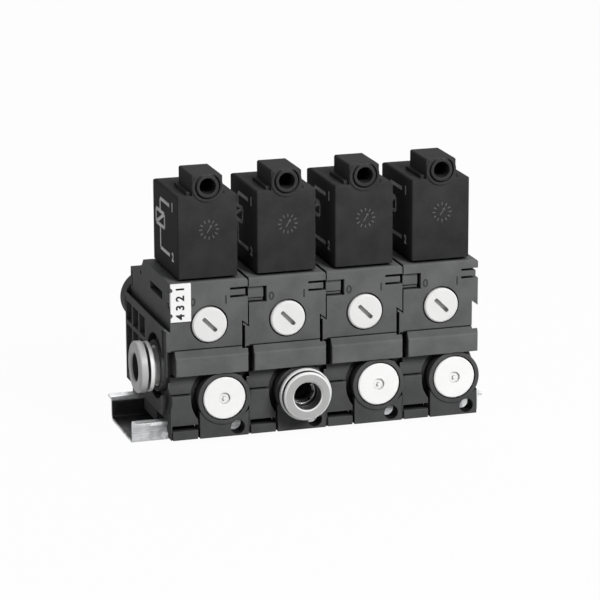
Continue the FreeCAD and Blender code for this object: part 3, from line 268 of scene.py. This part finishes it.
def moulded(name, level, edge_level, rough, specular, grain, grain_depth, warm=0.0,
            cloud=0.12, edge_radius=0.2, floor_shade=None, crevice_shade=0.0, bore=None,
            bore_end=None, face=None):
    """Moulded plastic: spark-eroded grain, faint cloudiness and edges a little lighter,
    partly as wear and partly as painted highlight.

    floor_shade is the painted shade towards the floor: (low height, high height, share at
    the low one). crevice_shade says how dark the painted shade in gaps and pockets is. bore
    is (across, upright, radius) of a hole that is painted dark inside, as shade and in the
    fittings also as their dark inner parts, up to bore_end along Y if that is given. face
    is the inner and outer radius of a ring's flat, and how much lighter the rims on both
    sides of it are painted, as highlight.
    """
    finish = Finish(name, Specular_IOR_Level=specular)
    clouds = finish.noise(CLOUD_SIZE, detail=3.0)
    speckle = finish.noise(SPECKLE_SIZE)
    tone = finish.ramp(blend(clouds, speckle, CLOUD_SHARE), *NOISE_SPAN)
    body = finish.mix(tone, grey(level * (1 - cloud), warm), grey(level * (1 + cloud), warm))
    rounded = finish.rounded(edge_radius)
    # Lighter edges: partly wear, partly painted highlight.
    edge = finish.edges(rounded, EDGE_GAIN)
    edge_colour = grey(edge_level, warm)
    colour = finish.mix(edge * EDGE_SHARE, body, edge_colour)
    # Painted shade, darker towards the floor.
    if floor_shade:
        colour = shaded(finish, colour, *floor_shade)
    # Painted shade in gaps and pockets.
    if crevice_shade:
        colour = crevice_shaded(finish, colour, crevice_shade)
    # Painted shade inside a bore and painted highlight on a ring's rims.
    if bore:
        colour = bored(finish, colour, bore, bore_end, face, edge_colour)
    finish.feed("Base Color", colour)
    finish.feed("Roughness", finish.ramp(blend(clouds, speckle, 0.5), *NOISE_SPAN,
                                         rough - SMOOTHER, rough + ROUGHER))
    finish.feed("Normal", finish.bump(finish.noise(grain, detail=3.0), grain_depth, rounded))
    return finish.material


def turned_metal(name, colour, rough, line_size, line_depth, axis):
    """Machined metal with fine tool lines across one axis (0, 1 or 2)."""
    line_stretch, line_share, line_low, line_high = 0.02, 0.6, 0.35, 0.65
    stain_size, stain_level, smoother, rougher = 3.0, 0.72, 0.08, 0.1
    finish = Finish(name, Metallic=1.0)
    scale = [line_stretch] * 3
    scale[axis] = 1.0
    lines = finish.noise(line_size, vector=finish.stretched(scale))
    stain = finish.noise(stain_size, detail=3.0)
    darker = tuple(channel * stain_level for channel in colour)
    tone = finish.ramp(blend(lines, stain, line_share), line_low, line_high)
    finish.feed("Base Color", finish.mix(tone, (*darker, 1.0), (*colour, 1.0)))
    finish.feed("Roughness", finish.ramp(stain, *NOISE_SPAN, rough - smoother, rough + rougher))
    finish.feed("Normal", finish.bump(lines, line_depth, finish.rounded(FINE_EDGE)))
    return finish.material


def galvanised():
    """Zinc-plated rail: dull spangles, rolling lines and brighter edges, partly wear and
    partly painted highlight.

    The channel between the rail's two walls is painted dark as the housings' shadow.
    """
    spangle_size, roll_size, stain_size = 2.6, 0.5, 4.0
    dull, bright, wear_and_highlight = grey(0.44, -0.02), grey(0.84, -0.01), grey(0.95)
    edge_radius, edge_gain, edge_share = 0.18, 2.0, 0.6
    wall, wall_soft, floor_low, floor_high = 12.55, 0.25, 0.3, 0.9
    finish = Finish("zinc_plating", Metallic=0.6, Specular_IOR_Level=0.3)
    cells = finish.node("ShaderNodeTexVoronoi", {}, {
        "Vector": finish.place(), "Scale": 1 / (spangle_size * MM)}, 1)
    spangle = finish.node("ShaderNodeSeparateColor", {}, {"Color": cells})
    rolled = finish.noise(roll_size, vector=finish.stretched([0.05, 1.0, 1.0]))
    stain = finish.noise(stain_size, detail=4.0)
    tone = finish.ramp(spangle * 0.25 + rolled * 0.3 + stain * 0.45, *NOISE_SPAN)
    rounded = finish.rounded(edge_radius)
    edge = finish.edges(rounded, edge_gain)
    # Brighter edges: partly wear, partly painted highlight.
    plated = finish.mix(edge * edge_share, finish.mix(tone, dull, bright), wear_and_highlight)
    # Painted shadow of the housings in the channel.
    aside = finish.maths("ABSOLUTE", finish.part(finish.place(), 1))
    channel = (1 - finish.past(aside, wall, wall_soft)) * finish.height(floor_low, floor_high)
    finish.feed("Base Color", finish.mix(channel * 0.95, plated, grey(DARK_LEVEL)))
    finish.feed("Roughness", finish.ramp(tone, 0.0, 1.0, 0.48, 0.3))
    finish.feed("Normal", finish.bump(blend(rolled, stain, 0.5), 0.03, rounded))
    return finish.material


def wound_copper():
    """Enamelled wire laid side by side round the winding."""
    wire_size, waves_per_unit, stain_size = 0.3, 20, 2.0
    finish = Finish("enamelled_copper", Metallic=0.8)
    turns = finish.node("ShaderNodeTexWave", {"bands_direction": "Z"}, {
        "Vector": finish.place(), "Scale": 1 / (wire_size * MM) / waves_per_unit,
        "Distortion": 0.3})
    stain = finish.noise(stain_size)
    finish.feed("Base Color", finish.mix(stain, (0.42, 0.17, 0.08, 1), (0.62, 0.28, 0.13, 1)))
    finish.feed("Roughness", finish.ramp(stain, *NOISE_SPAN, 0.28, 0.4))
    finish.feed("Normal", finish.bump(turns, 0.1, finish.rounded(FINE_EDGE)))
    return finish.material


def soft_rubber():
    """Black sealing rubber with a fine bloom."""
    bloom_size, pit_size, pit_depth = 0.8, 0.2, 0.01
    finish = Finish("seal_rubber", Specular_IOR_Level=0.35)
    bloom = finish.noise(bloom_size, detail=4.0)
    finish.feed("Base Color", finish.mix(bloom, grey(0.012), grey(0.035)))
    finish.feed("Roughness", finish.ramp(bloom, *NOISE_SPAN, 0.55, 0.75))
    finish.feed("Normal", finish.bump(finish.noise(pit_size), pit_depth, finish.rounded(FINE_EDGE)))
    return finish.material


FRONT_BORE = (0, PORT_X), PORT_Z
SUPPLY_BORE = (1, SUPPLY_Y), SUPPLY_Z
REAR_BORE = (0, REAR_PORT_X), REAR_PORT_Z
FOOT_HOLE = (0, FOOT_HOLE_X), FOOT_HOLE_Z, FOOT_HOLE_RADIUS
# Radii inside which the fittings and release rings are painted dark.
SLEEVE_RADIUS = 5.32
FRONT_FLANGE_RADIUS = 7.8
RING_BORE_RADIUS = 4.5
RING_FACE_RADIUS = 4.85


def fitting_white(name, bore, dark_radius=SLEEVE_RADIUS):
    """White plastic of a cartridge, dark inside out to dark_radius: partly its dark inner
    parts and partly painted shade.
    """
    return moulded(name, level=0.84, edge_level=0.94, rough=0.36, specular=0.4, grain=0.6,
                   grain_depth=0.006, warm=0.005, cloud=0.03, crevice_shade=0.85,
                   bore=(*bore, dark_radius))


def ring_grey(name, bore, outer, rims):
    """Grey plastic of a release ring, dark in its bore as dark inner parts and painted shade;
    its rims outside the face are lighter, as painted highlight.
    """
    return moulded(name, level=0.40, edge_level=0.95, rough=0.4, specular=0.4, grain=0.5,
                   grain_depth=0.008, warm=0.004, cloud=0.04, edge_radius=0.35, crevice_shade=0.85,
                   bore=(*bore, RING_BORE_RADIUS), face=(RING_FACE_RADIUS, outer, rims))


FINISHES = {
    "grey_nylon": moulded(
        "grey_nylon", level=0.124, edge_level=0.36, rough=0.70, specular=0.06, grain=0.22,
        grain_depth=0.012, warm=-0.01, cloud=0.14, edge_radius=0.3, floor_shade=(2.0, 56.0, 0.54),
        crevice_shade=0.9, bore=FOOT_HOLE, bore_end=FOOT_HOLE_END),
    "black_resin": moulded(
        "black_resin", level=0.042, edge_level=0.16, rough=0.62, specular=0.01, grain=0.30,
        grain_depth=0.010, cloud=0.16, edge_radius=0.35, floor_shade=(53.0, 86.0, 0.75), crevice_shade=0.8),
    "black_plastic": moulded(
        "black_plastic", level=0.030, edge_level=0.06, rough=0.5, specular=0.3, grain=0.25,
        grain_depth=0.01),
    "plug_white": moulded(
        "plug_white", level=0.90, edge_level=0.94, rough=0.42, specular=0.35, grain=0.6,
        grain_depth=0.006, warm=0.004, cloud=0.02, crevice_shade=0.85),
    "screw_white": moulded(
        "screw_white", level=0.76, edge_level=0.84, rough=0.45, specular=0.35, grain=0.5,
        grain_depth=0.008, warm=0.006, cloud=0.03, crevice_shade=0.6),
    "plate_white": moulded(
        "plate_white", level=0.88, edge_level=0.92, rough=0.5, specular=0.3, grain=0.5,
        grain_depth=0.008, warm=0.004, cloud=0.02),
    # Out to the flange: painted shadow in the gap behind the front ring.
    "front_white": fitting_white("front_white", FRONT_BORE, FRONT_FLANGE_RADIUS),
    "supply_white": fitting_white("supply_white", SUPPLY_BORE),
    "rear_white": fitting_white("rear_white", REAR_BORE),
    "front_ring_grey": ring_grey("front_ring_grey", FRONT_BORE, outer=7.0, rims=0.75),
    "supply_ring_grey": ring_grey("supply_ring_grey", SUPPLY_BORE, outer=7.6, rims=0.1),
    "rear_ring_grey": ring_grey("rear_ring_grey", REAR_BORE, outer=5.8, rims=0.6),
    # Lighter copy of the black resin: painted highlight on the raised clock strokes.
    "highlit_black": moulded(
        "highlit_black", level=0.105, edge_level=0.17, rough=0.6, specular=0.1, grain=0.30,
        grain_depth=0.004, cloud=0.1),
    "digit_grey": moulded(
        "digit_grey", level=0.042, edge_level=0.055, rough=0.6, specular=0.2, grain=0.22,
        grain_depth=0.006, warm=-0.01),
    "zinc": galvanised(),
    "iron": turned_metal(
        "soft_iron", (0.42, 0.41, 0.40), rough=0.35, line_size=0.25, line_depth=0.01, axis=2),
    "spring_steel": turned_metal(
        "spring_steel", (0.55, 0.55, 0.56), rough=0.3, line_size=0.4, line_depth=0.004, axis=2),
    "grip_steel": turned_metal(
        "grip_steel", (0.72, 0.72, 0.72), rough=0.22, line_size=0.3, line_depth=0.004, axis=1),
    "aluminium": turned_metal(
        "turned_aluminium", (0.75, 0.75, 0.76), rough=0.28, line_size=0.2, line_depth=0.01, axis=2),
    "brass": turned_metal(
        "contact_brass", (0.76, 0.58, 0.28), rough=0.28, line_size=0.2, line_depth=0.006, axis=1),
    "copper": wound_copper(),
    "rubber": soft_rubber(),
    "black_print": moulded(
        "black_print", level=0.02, edge_level=0.02, rough=0.6, specular=0.2, grain=0.3,
        grain_depth=0.002, cloud=0.2),
    "white_print": moulded(
        "white_print", level=0.74, edge_level=0.74, rough=0.6, specular=0.2, grain=0.3,
        grain_depth=0.002, cloud=0.25),
}

NODE_FINISH = {
    "channel_couplings": "black_plastic",
    "channel_end_plug": "black_plastic",
    "override_seals": "rubber",
    "head_seals": "rubber",
    "contact_pins": "brass",
    "pole_cores": "iron",
    "coil_windings": "copper",
    "marker_plate": "plate_white",
    "top_hat_rail": "zinc",
    "front_cartridge": "front_white",
    "front_release_ring": "front_ring_grey",
    "supply_cartridge": "supply_white",
    "supply_release_ring": "supply_ring_grey",
}
STATION_FINISH = {
    "housing": "grey_nylon",
    "pilot_head": "black_resin",
    "armature": "iron",
    "armature_spring": "spring_steel",
    "override_screw": "screw_white",
    "spool": "aluminium",
    "spool_spring": "spring_steel",
    "bottom_cap": "black_plastic",
    "rail_latch": "grey_nylon",
    "rear_cartridge": "rear_white",
    "rear_release_ring": "rear_ring_grey",
}


def dress(piece, finish):
    """Gives a piece its finish in every material slot."""
    if not piece.material_slots:
        piece.data.materials.append(FINISHES[finish])
    for slot in piece.material_slots:
        slot.material = FINISHES[finish]


for node, finish in NODE_FINISH.items():
    dress(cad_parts[node], finish)
for part, finish in STATION_FINISH.items():
    for station in STATIONS:
        dress(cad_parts[f"{part}_{station}"], finish)
for station in PLUGGED:
    dress(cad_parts[f"port_plug_{station}"], "plug_white")


# Tools for small pieces

# Turns for a piece that is made lying on the XY plane with its face up.
FACING_FRONT = Matrix(((1, 0, 0), (0, 0, -1), (0, 1, 0)))
READING_UP = Matrix(((0, -1, 0), (0, 0, -1), (1, 0, 0)))
FACING_REAR = Matrix(((-1, 0, 0), (0, 0, 1), (0, 1, 0)))
FACING_LEFT = Matrix(((0, 0, -1), (-1, 0, 0), (0, 1, 0)))
UNTURNED = Matrix.Identity(3)
# A figure's height as a share of its font size.
FIGURE_SHARE = 0.7
FIGURE_CURVE_STEPS = 4
# How wide and long a stroke's top is as shares of its foot, and its bevel as a share of
# its height.
STROKE_TOP = (0.55, 0.85, 1.0)
STROKE_BEVEL = 0.3


def left_of(station):
    """Where a station's left side lies along the rail."""
    return PITCH * (station - 3)


def deselect():
    """Leaves nothing selected."""
    bpy.ops.object.select_all(action="DESELECT")


def newest():
    """The piece that the last step made or changed."""
    return bpy.context.view_layer.objects.active


def pick(piece):
    """Selects one piece alone."""
    deselect()
    piece.select_set(True)
    bpy.context.view_layer.objects.active = piece


def settle(piece, turn, place):
    """Turns a flat piece, moves it to its place and leaves its object at the origin."""
    pick(piece)
    piece.matrix_world = Matrix.Translation(Vector(place) * MM) @ turn.to_4x4()
    bpy.ops.object.transform_apply(location=True, rotation=True, scale=True)


def joined(pieces, name):
    """One piece out of several."""
    pick(pieces[0])
    for piece in pieces:
        piece.select_set(True)
    bpy.ops.object.join()
    made = newest()
    made.name = name
    return made


def copied(piece):
    """A copy of a piece with its own mesh."""
    twin = piece.copy()
    twin.data = piece.data.copy()
    bpy.context.scene.collection.objects.link(twin)
    return twin


def put(pattern, name, turn, place, finish):
    """Puts a finished copy of a piece in its place on the fixed block."""
    twin = copied(pattern)
    twin.name = name
    settle(twin, turn, place)
    dress(twin, finish)
    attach(twin, "block")


def start_edit(piece, action="DESELECT"):
    """Opens a piece's mesh with nothing in it selected, or with all of it."""
    pick(piece)
    bpy.ops.object.mode_set(mode="EDIT")
    bpy.ops.mesh.select_all(action=action)


def choose(piece, kind, test):
    """Selects the vertices, edges or faces whose middle passes a test."""
    form = bmesh.from_edit_mesh(piece.data)
    for group in (form.verts, form.edges, form.faces):
        for element in group:
            element.select = False
    for element in getattr(form, kind):
        if kind == "faces":
            element.select = test(element.calc_center_median(), element.normal)
        elif kind == "edges":
            element.select = test((element.verts[0].co + element.verts[1].co) / 2)
        else:
            element.select = test(element.co)
    form.select_flush(True)
    bmesh.update_edit_mesh(piece.data)


def end_edit():
    """Closes the mesh again."""
    bpy.ops.object.mode_set(mode="OBJECT")


def finished_by(piece, kind, **settings):
    """Adds a modifier with its settings and applies it."""
    pick(piece)
    modifier = piece.modifiers.new(kind.lower(), kind)
    for key, value in settings.items():
        setattr(modifier, key, value)
    bpy.ops.object.modifier_apply(modifier=modifier.name)


def figure(text, height, depth, bold):
    """Raised figures as a mesh centred on the XY plane, depth thick to each side of it."""
    deselect()
    bpy.ops.object.text_add(location=(0, 0, 0))
    piece = newest()
    piece.data.body = text
    piece.data.align_x = "CENTER"
    piece.data.align_y = "CENTER"
    piece.data.size = height * MM / FIGURE_SHARE
    piece.data.extrude = depth * MM
    piece.data.offset = bold * MM
    piece.data.resolution_u = FIGURE_CURVE_STEPS
    bpy.ops.object.convert(target="MESH")
    return piece


def raised_stroke(length, width, height):
    """One raised moulded stroke along Y, narrower on top, lying on the XY plane."""
    deselect()
    bpy.ops.mesh.primitive_cube_add(size=MM, location=(0, 0, height * MM / 2))
    piece = newest()
    start_edit(piece, "SELECT")
    bpy.ops.transform.resize(value=(width, length, height))
    choose(piece, "faces", lambda middle, normal: normal.z > 0.9)
    bpy.ops.transform.resize(value=STROKE_TOP)
    end_edit()
    settle(piece, UNTURNED, (0, 0, height / 2))
    finished_by(piece, "BEVEL", width=height * MM * STROKE_BEVEL, segments=2)
    return piece


def arrow_head(width, height):
    """A three-cornered arrow head that points along Y."""
    inset_share, crown_share = 0.25, 0.3
    deselect()
    bpy.ops.mesh.primitive_cylinder_add(vertices=3, radius=width * MM, depth=height * MM,
                                        location=(0, 0, height * MM / 2))
    piece = newest()
    settle(piece, UNTURNED, (0, 0, height / 2))
    start_edit(piece)
    choose(piece, "faces", lambda middle, normal: normal.z > 0.9)
    bpy.ops.mesh.inset(thickness=width * MM * inset_share)
    bpy.ops.transform.translate(value=(0, 0, height * MM * crown_share))
    end_edit()
    return piece


# Print and moulded marks

MARK_FIGURE_HEIGHT = 2.5
MARKER_X = -46.8
MARKER_FACE = FRONT - 0.5
MARKER_FIRST_Z = 42.0
MARKER_STEP = 2.9
OVERRIDE_FIGURES = (("0", 7.2), ("1", 17.7))
OVERRIDE_FIGURE_Z = 46.1
CLOCK_X = 12.9
CLOCK_Z = 68.2
CLOCK_RELIEF = 0.14
CLOCK_RADIUS = 2.65
CLOCK_LEAN = -31
SYMBOL_Y = -0.6
SYMBOL_Z = 68.0
SYMBOL_STROKE = 1.3
PRINT_HEIGHT = 0.05


def marker_digits():
    """Four printed figures on the marker plate, read from below upwards."""
    pieces = []
    for index, text in enumerate("4321"):
        digit = figure(text, MARK_FIGURE_HEIGHT, depth=0.03, bold=0.11)
        settle(digit, READING_UP, (MARKER_X, MARKER_FACE, MARKER_FIRST_Z + MARKER_STEP * index))
        pieces.append(digit)
    digits = joined(pieces, "marker_digits")
    dress(digits, "black_print")
    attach(digits, "block")


def override_digits():
    """Raised 0 and 1 above each override, one to each side."""
    for station in STATIONS:
        pieces = []
        for text, offset in OVERRIDE_FIGURES:
            digit = figure(text, MARK_FIGURE_HEIGHT, depth=0.07, bold=0.08)
            settle(digit, FACING_FRONT, (left_of(station) + offset, FRONT, OVERRIDE_FIGURE_Z))
            pieces.append(digit)
        digits = joined(pieces, f"override_digits_{station}")
        dress(digits, "digit_grey")
        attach(digits, "block")


def date_clocks():
    """Moulding clock on each head's front: twelve strokes round an arrow, in a lighter
    copy of the head's resin as painted highlight.
    """
    hours, shaft_middle, head_middle = 12, -0.1, 1.2
    stroke = raised_stroke(length=1.05, width=0.5, height=CLOCK_RELIEF)
    strokes = []
    for hour in range(hours):
        turn = Matrix.Rotation(hour * math.tau / hours, 3, "Z")
        twin = copied(stroke)
        settle(twin, turn, turn @ Vector((0, CLOCK_RADIUS, 0)))
        strokes.append(twin)
    bpy.data.objects.remove(stroke)
    lean = Matrix.Rotation(math.radians(CLOCK_LEAN), 3, "Z")
    shaft = raised_stroke(length=2.3, width=0.45, height=CLOCK_RELIEF)
    settle(shaft, lean, lean @ Vector((0, shaft_middle, 0)))
    head = arrow_head(width=0.6, height=CLOCK_RELIEF)
    settle(head, lean, lean @ Vector((0, head_middle, 0)))
    clock = joined(strokes + [shaft, head], "date_clock")
    for station in STATIONS:
        put(clock, f"date_clock_{station}", FACING_FRONT,
            (left_of(station) + CLOCK_X, HEAD_FRONT, CLOCK_Z), "highlit_black")
    bpy.data.objects.remove(clock)


def side_symbols():
    """Printed on each head's left side: the plain sign for a coil, with terminals 1 and 2.

    The coil is a box with a slanting line, and rise and drop are the heights of the two
    leads that run to the terminals.
    """
    wide, high, run, rise, drop = 10.0, 4.4, 11.0, 6.3, 9.3
    figure_height, figure_gap, figure_bold = 2.6, 3.4, 0.2
    level, slant = math.pi / 2, -math.atan2(wide, high)
    lines = [(wide, level, (0, high / 2)), (wide, level, (0, -high / 2)),
             (high, 0, (wide / 2, 0)), (high, 0, (-wide / 2, 0)),
             (math.hypot(wide, high), slant, (0, 0)),
             (rise - high / 2, 0, (0, (rise + high / 2) / 2)),
             (drop - high / 2, 0, (0, -(drop + high / 2) / 2)),
             (run, level, (run / 2, rise)), (run, level, (run / 2, -drop))]
    pieces = []
    for length, angle, (right, up) in lines:
        stroke = raised_stroke(length, SYMBOL_STROKE, PRINT_HEIGHT)
        settle(stroke, Matrix.Rotation(angle, 3, "Z"), (right, up, 0))
        pieces.append(stroke)
    for text, up in (("1", rise), ("2", -drop)):
        digit = figure(text, figure_height, PRINT_HEIGHT / 2, figure_bold)
        settle(digit, UNTURNED, (run + figure_gap, up, PRINT_HEIGHT / 2))
        pieces.append(digit)
    symbol = joined(pieces, "coil_symbol")
    for station in STATIONS:
        put(symbol, f"coil_symbol_{station}", FACING_LEFT,
            (left_of(station) + HEAD_SIDE, SYMBOL_Y, SYMBOL_Z), "white_print")
    bpy.data.objects.remove(symbol)


# Grip rings and seals inside the fittings

GRIP_TEETH = 8
GRIP_STEPS = 4 * GRIP_TEETH
GRIP_RADIUS = 4.04
GRIP_BAND = 0.95
GRIP_TOOTH_ROOT = 3.9
GRIP_TOOTH_REACH = 0.86
GRIP_LEAN = 0.6
GRIP_THICK = 0.12
SEAL_RADIUS = 3.75
SEAL_THICK_RADIUS = 0.34
SEAL_LIP_RADIUS = 3.5
SEAL_LIP_LEAN = 0.5
SEAL_LIP_REACH = 0.95
SEAL_DROP = 2.2


def grip_ring():
    """Thin steel ring about Z whose eight teeth lean inwards and down."""
    deselect()
    bpy.ops.mesh.primitive_circle_add(vertices=GRIP_STEPS, radius=GRIP_RADIUS * MM,
                                      fill_type="NOTHING")
    piece = newest()
    start_edit(piece, "SELECT")
    bpy.ops.mesh.extrude_edges_move()
    bpy.ops.transform.resize(value=(GRIP_BAND, GRIP_BAND, 1.0), center_override=(0, 0, 0))

    def in_tooth(middle):
        step = (math.atan2(middle.y, middle.x) / math.tau * GRIP_STEPS) % 4
        return middle.length < GRIP_TOOTH_ROOT * MM and step < 3

    choose(piece, "edges", in_tooth)
    bpy.ops.mesh.extrude_edges_move()
    bpy.ops.transform.resize(value=(GRIP_TOOTH_REACH, GRIP_TOOTH_REACH, 1.0),
                             center_override=(0, 0, 0))
    bpy.ops.transform.translate(value=(0, 0, -GRIP_LEAN * MM))
    end_edit()
    finished_by(piece, "SOLIDIFY", thickness=GRIP_THICK * MM, offset=0.0)
    return piece


def tube_seal():
    """Black lip seal about Z, its lip leaning down and inwards."""
    deselect()
    bpy.ops.mesh.primitive_torus_add(major_radius=SEAL_RADIUS * MM,
                                     minor_radius=SEAL_THICK_RADIUS * MM,
                                     major_segments=48, minor_segments=12)
    piece = newest()
    start_edit(piece)
    choose(piece, "verts", lambda spot: spot.xy.length < SEAL_LIP_RADIUS * MM)
    bpy.ops.transform.translate(value=(0, 0, -SEAL_LIP_LEAN * MM))
    bpy.ops.transform.resize(value=(SEAL_LIP_REACH, SEAL_LIP_REACH, 1.0),
                             center_override=(0, 0, 0))
    end_edit()
    bpy.ops.object.shade_smooth()
    return piece


def fitting_insides():
    """Grip ring and seal behind each release ring's sleeve.

    The last number of each place is the ring's height over the fitting's face.
    """
    places = [("front", FACING_FRONT, (PORT_X, PORT_FACE, PORT_Z), 0.3),
              ("supply", FACING_LEFT, (LEFT_FACE, SUPPLY_Y, SUPPLY_Z), -0.7)]
    for station in STATIONS:
        spot = (left_of(station) + REAR_PORT_X, REAR_FACE, REAR_PORT_Z)
        places.append((f"rear_{station}", FACING_REAR, spot, -4.2))
    grip = grip_ring()
    seal = tube_seal()
    for name, turn, spot, height in places:
        face = Vector(spot)
        put(grip, f"{name}_grip_ring", turn, face + turn @ Vector((0, 0, height)),
            "grip_steel")
        put(seal, f"{name}_tube_seal", turn, face + turn @ Vector((0, 0, height - SEAL_DROP)),
            "rubber")
    for piece in (grip, seal):
        bpy.data.objects.remove(piece)


marker_digits()
override_digits()
date_clocks()
side_symbols()
fitting_insides()


# Camera, lamps and floor, with places and sizes in metres from here on

TARGET = Vector((-1.86, -0.5, 37.98)) * MM
AZIMUTH, ELEVATION, ROLL = (math.radians(a) for a in (-17.18, 14.95, -0.19))
DISTANCE = 0.9879
FOCAL_PIXELS = 3135.09
FRAME_PIXELS = 600
SENSOR = 36.0
NEAR, FAR = 0.02, 20
WHITE = (1, 1, 1, 1)
WORLD_LEVEL = 0.10
FLOOR_SIZE = 8
FLOOR_COLOUR = (0.6, 0.6, 0.6, 1)
FLOOR_ROUGH = 0.9
FLOOR_WHITE = 0.97


def set_camera():
    """Camera at the photograph's angle, with its long lens."""
    back = Vector((math.sin(AZIMUTH) * math.cos(ELEVATION),
                   -math.cos(AZIMUTH) * math.cos(ELEVATION), math.sin(ELEVATION)))
    level = Vector((math.cos(AZIMUTH), math.sin(AZIMUTH), 0))
    upright = back.cross(level)
    right = level * math.cos(ROLL) + upright * math.sin(ROLL)
    up = upright * math.cos(ROLL) - level * math.sin(ROLL)
    turn = Matrix((right, up, back)).transposed()
    deselect()
    bpy.ops.object.camera_add()
    camera = newest()
    camera.matrix_world = Matrix.Translation(TARGET + back * DISTANCE) @ turn.to_4x4()
    camera.data.sensor_width = SENSOR
    camera.data.lens = FOCAL_PIXELS / FRAME_PIXELS * SENSOR
    camera.data.clip_start = NEAR
    camera.data.clip_end = FAR
    bpy.context.scene.camera = camera


def lamp(name, place, size, power):
    """A square softbox that faces the object."""
    light = bpy.data.lights.new(name, "AREA")
    light.size = size
    light.energy = power
    holder = bpy.data.objects.new(name, light)
    bpy.context.scene.collection.objects.link(holder)
    aim = (Vector(place) - TARGET).to_track_quat("Z", "Y").to_matrix().to_4x4()
    holder.matrix_world = Matrix.Translation(place) @ aim


def seen_white(tree, lit, share):
    """Mixes a shader with plain white for what the camera, metal and glass see."""
    rays = tree.nodes.new("ShaderNodeLightPath")
    total = rays.outputs["Is Camera Ray"]
    for name in ("Is Glossy Ray", "Is Transmission Ray"):
        adder = tree.nodes.new("ShaderNodeMath")
        adder.operation = "ADD"
        adder.use_clamp = True
        tree.links.new(total, adder.inputs[0])
        tree.links.new(rays.outputs[name], adder.inputs[1])
        total = adder.outputs[0]
    part = tree.nodes.new("ShaderNodeMath")
    part.operation = "MULTIPLY"
    part.inputs[1].default_value = share
    tree.links.new(total, part.inputs[0])
    white = tree.nodes.new("ShaderNodeBackground" if lit.type == "BACKGROUND"
                           else "ShaderNodeEmission")
    white.inputs["Color"].default_value = WHITE
    white.inputs["Strength"].default_value = 1.0
    mixer = tree.nodes.new("ShaderNodeMixShader")
    tree.links.new(part.outputs[0], mixer.inputs[0])
    tree.links.new(lit.outputs[0], mixer.inputs[1])
    tree.links.new(white.outputs[0], mixer.inputs[2])
    return mixer.outputs[0]


def set_world():
    """Plain white surroundings that light the object only a little."""
    world = bpy.data.worlds.new("studio")
    bpy.context.scene.world = world
    world.use_nodes = True
    tree = world.node_tree
    lit = tree.nodes["Background"]
    lit.inputs["Color"].default_value = WHITE
    lit.inputs["Strength"].default_value = WORLD_LEVEL
    tree.links.new(seen_white(tree, lit, 1.0), tree.nodes["World Output"].inputs["Surface"])


def set_floor():
    """Pale floor that keeps a hint of the object's shadow."""
    deselect()
    bpy.ops.mesh.primitive_plane_add(size=FLOOR_SIZE, location=(0, 0, 0))
    floor = newest()
    floor.name = "floor"
    material = bpy.data.materials.new("pale_floor")
    material.use_nodes = True
    tree = material.node_tree
    lit = tree.nodes["Principled BSDF"]
    lit.inputs["Base Color"].default_value = FLOOR_COLOUR
    lit.inputs["Roughness"].default_value = FLOOR_ROUGH
    lit.inputs["Specular IOR Level"].default_value = 0.0
    tree.links.new(seen_white(tree, lit, FLOOR_WHITE),
                   tree.nodes["Material Output"].inputs["Surface"])
    floor.data.materials.append(material)


set_camera()
set_world()
set_floor()
lamp("key", place=(0.42, -1.0, 0.82), size=0.5, power=17.6)
lamp("fill", place=(-1.0, -0.75, 0.6), size=0.8, power=1.2)
lamp("back", place=(0.3, 1.1, 1.0), size=0.8, power=5.0)
bpy.context.scene.view_settings.view_transform = "Standard"
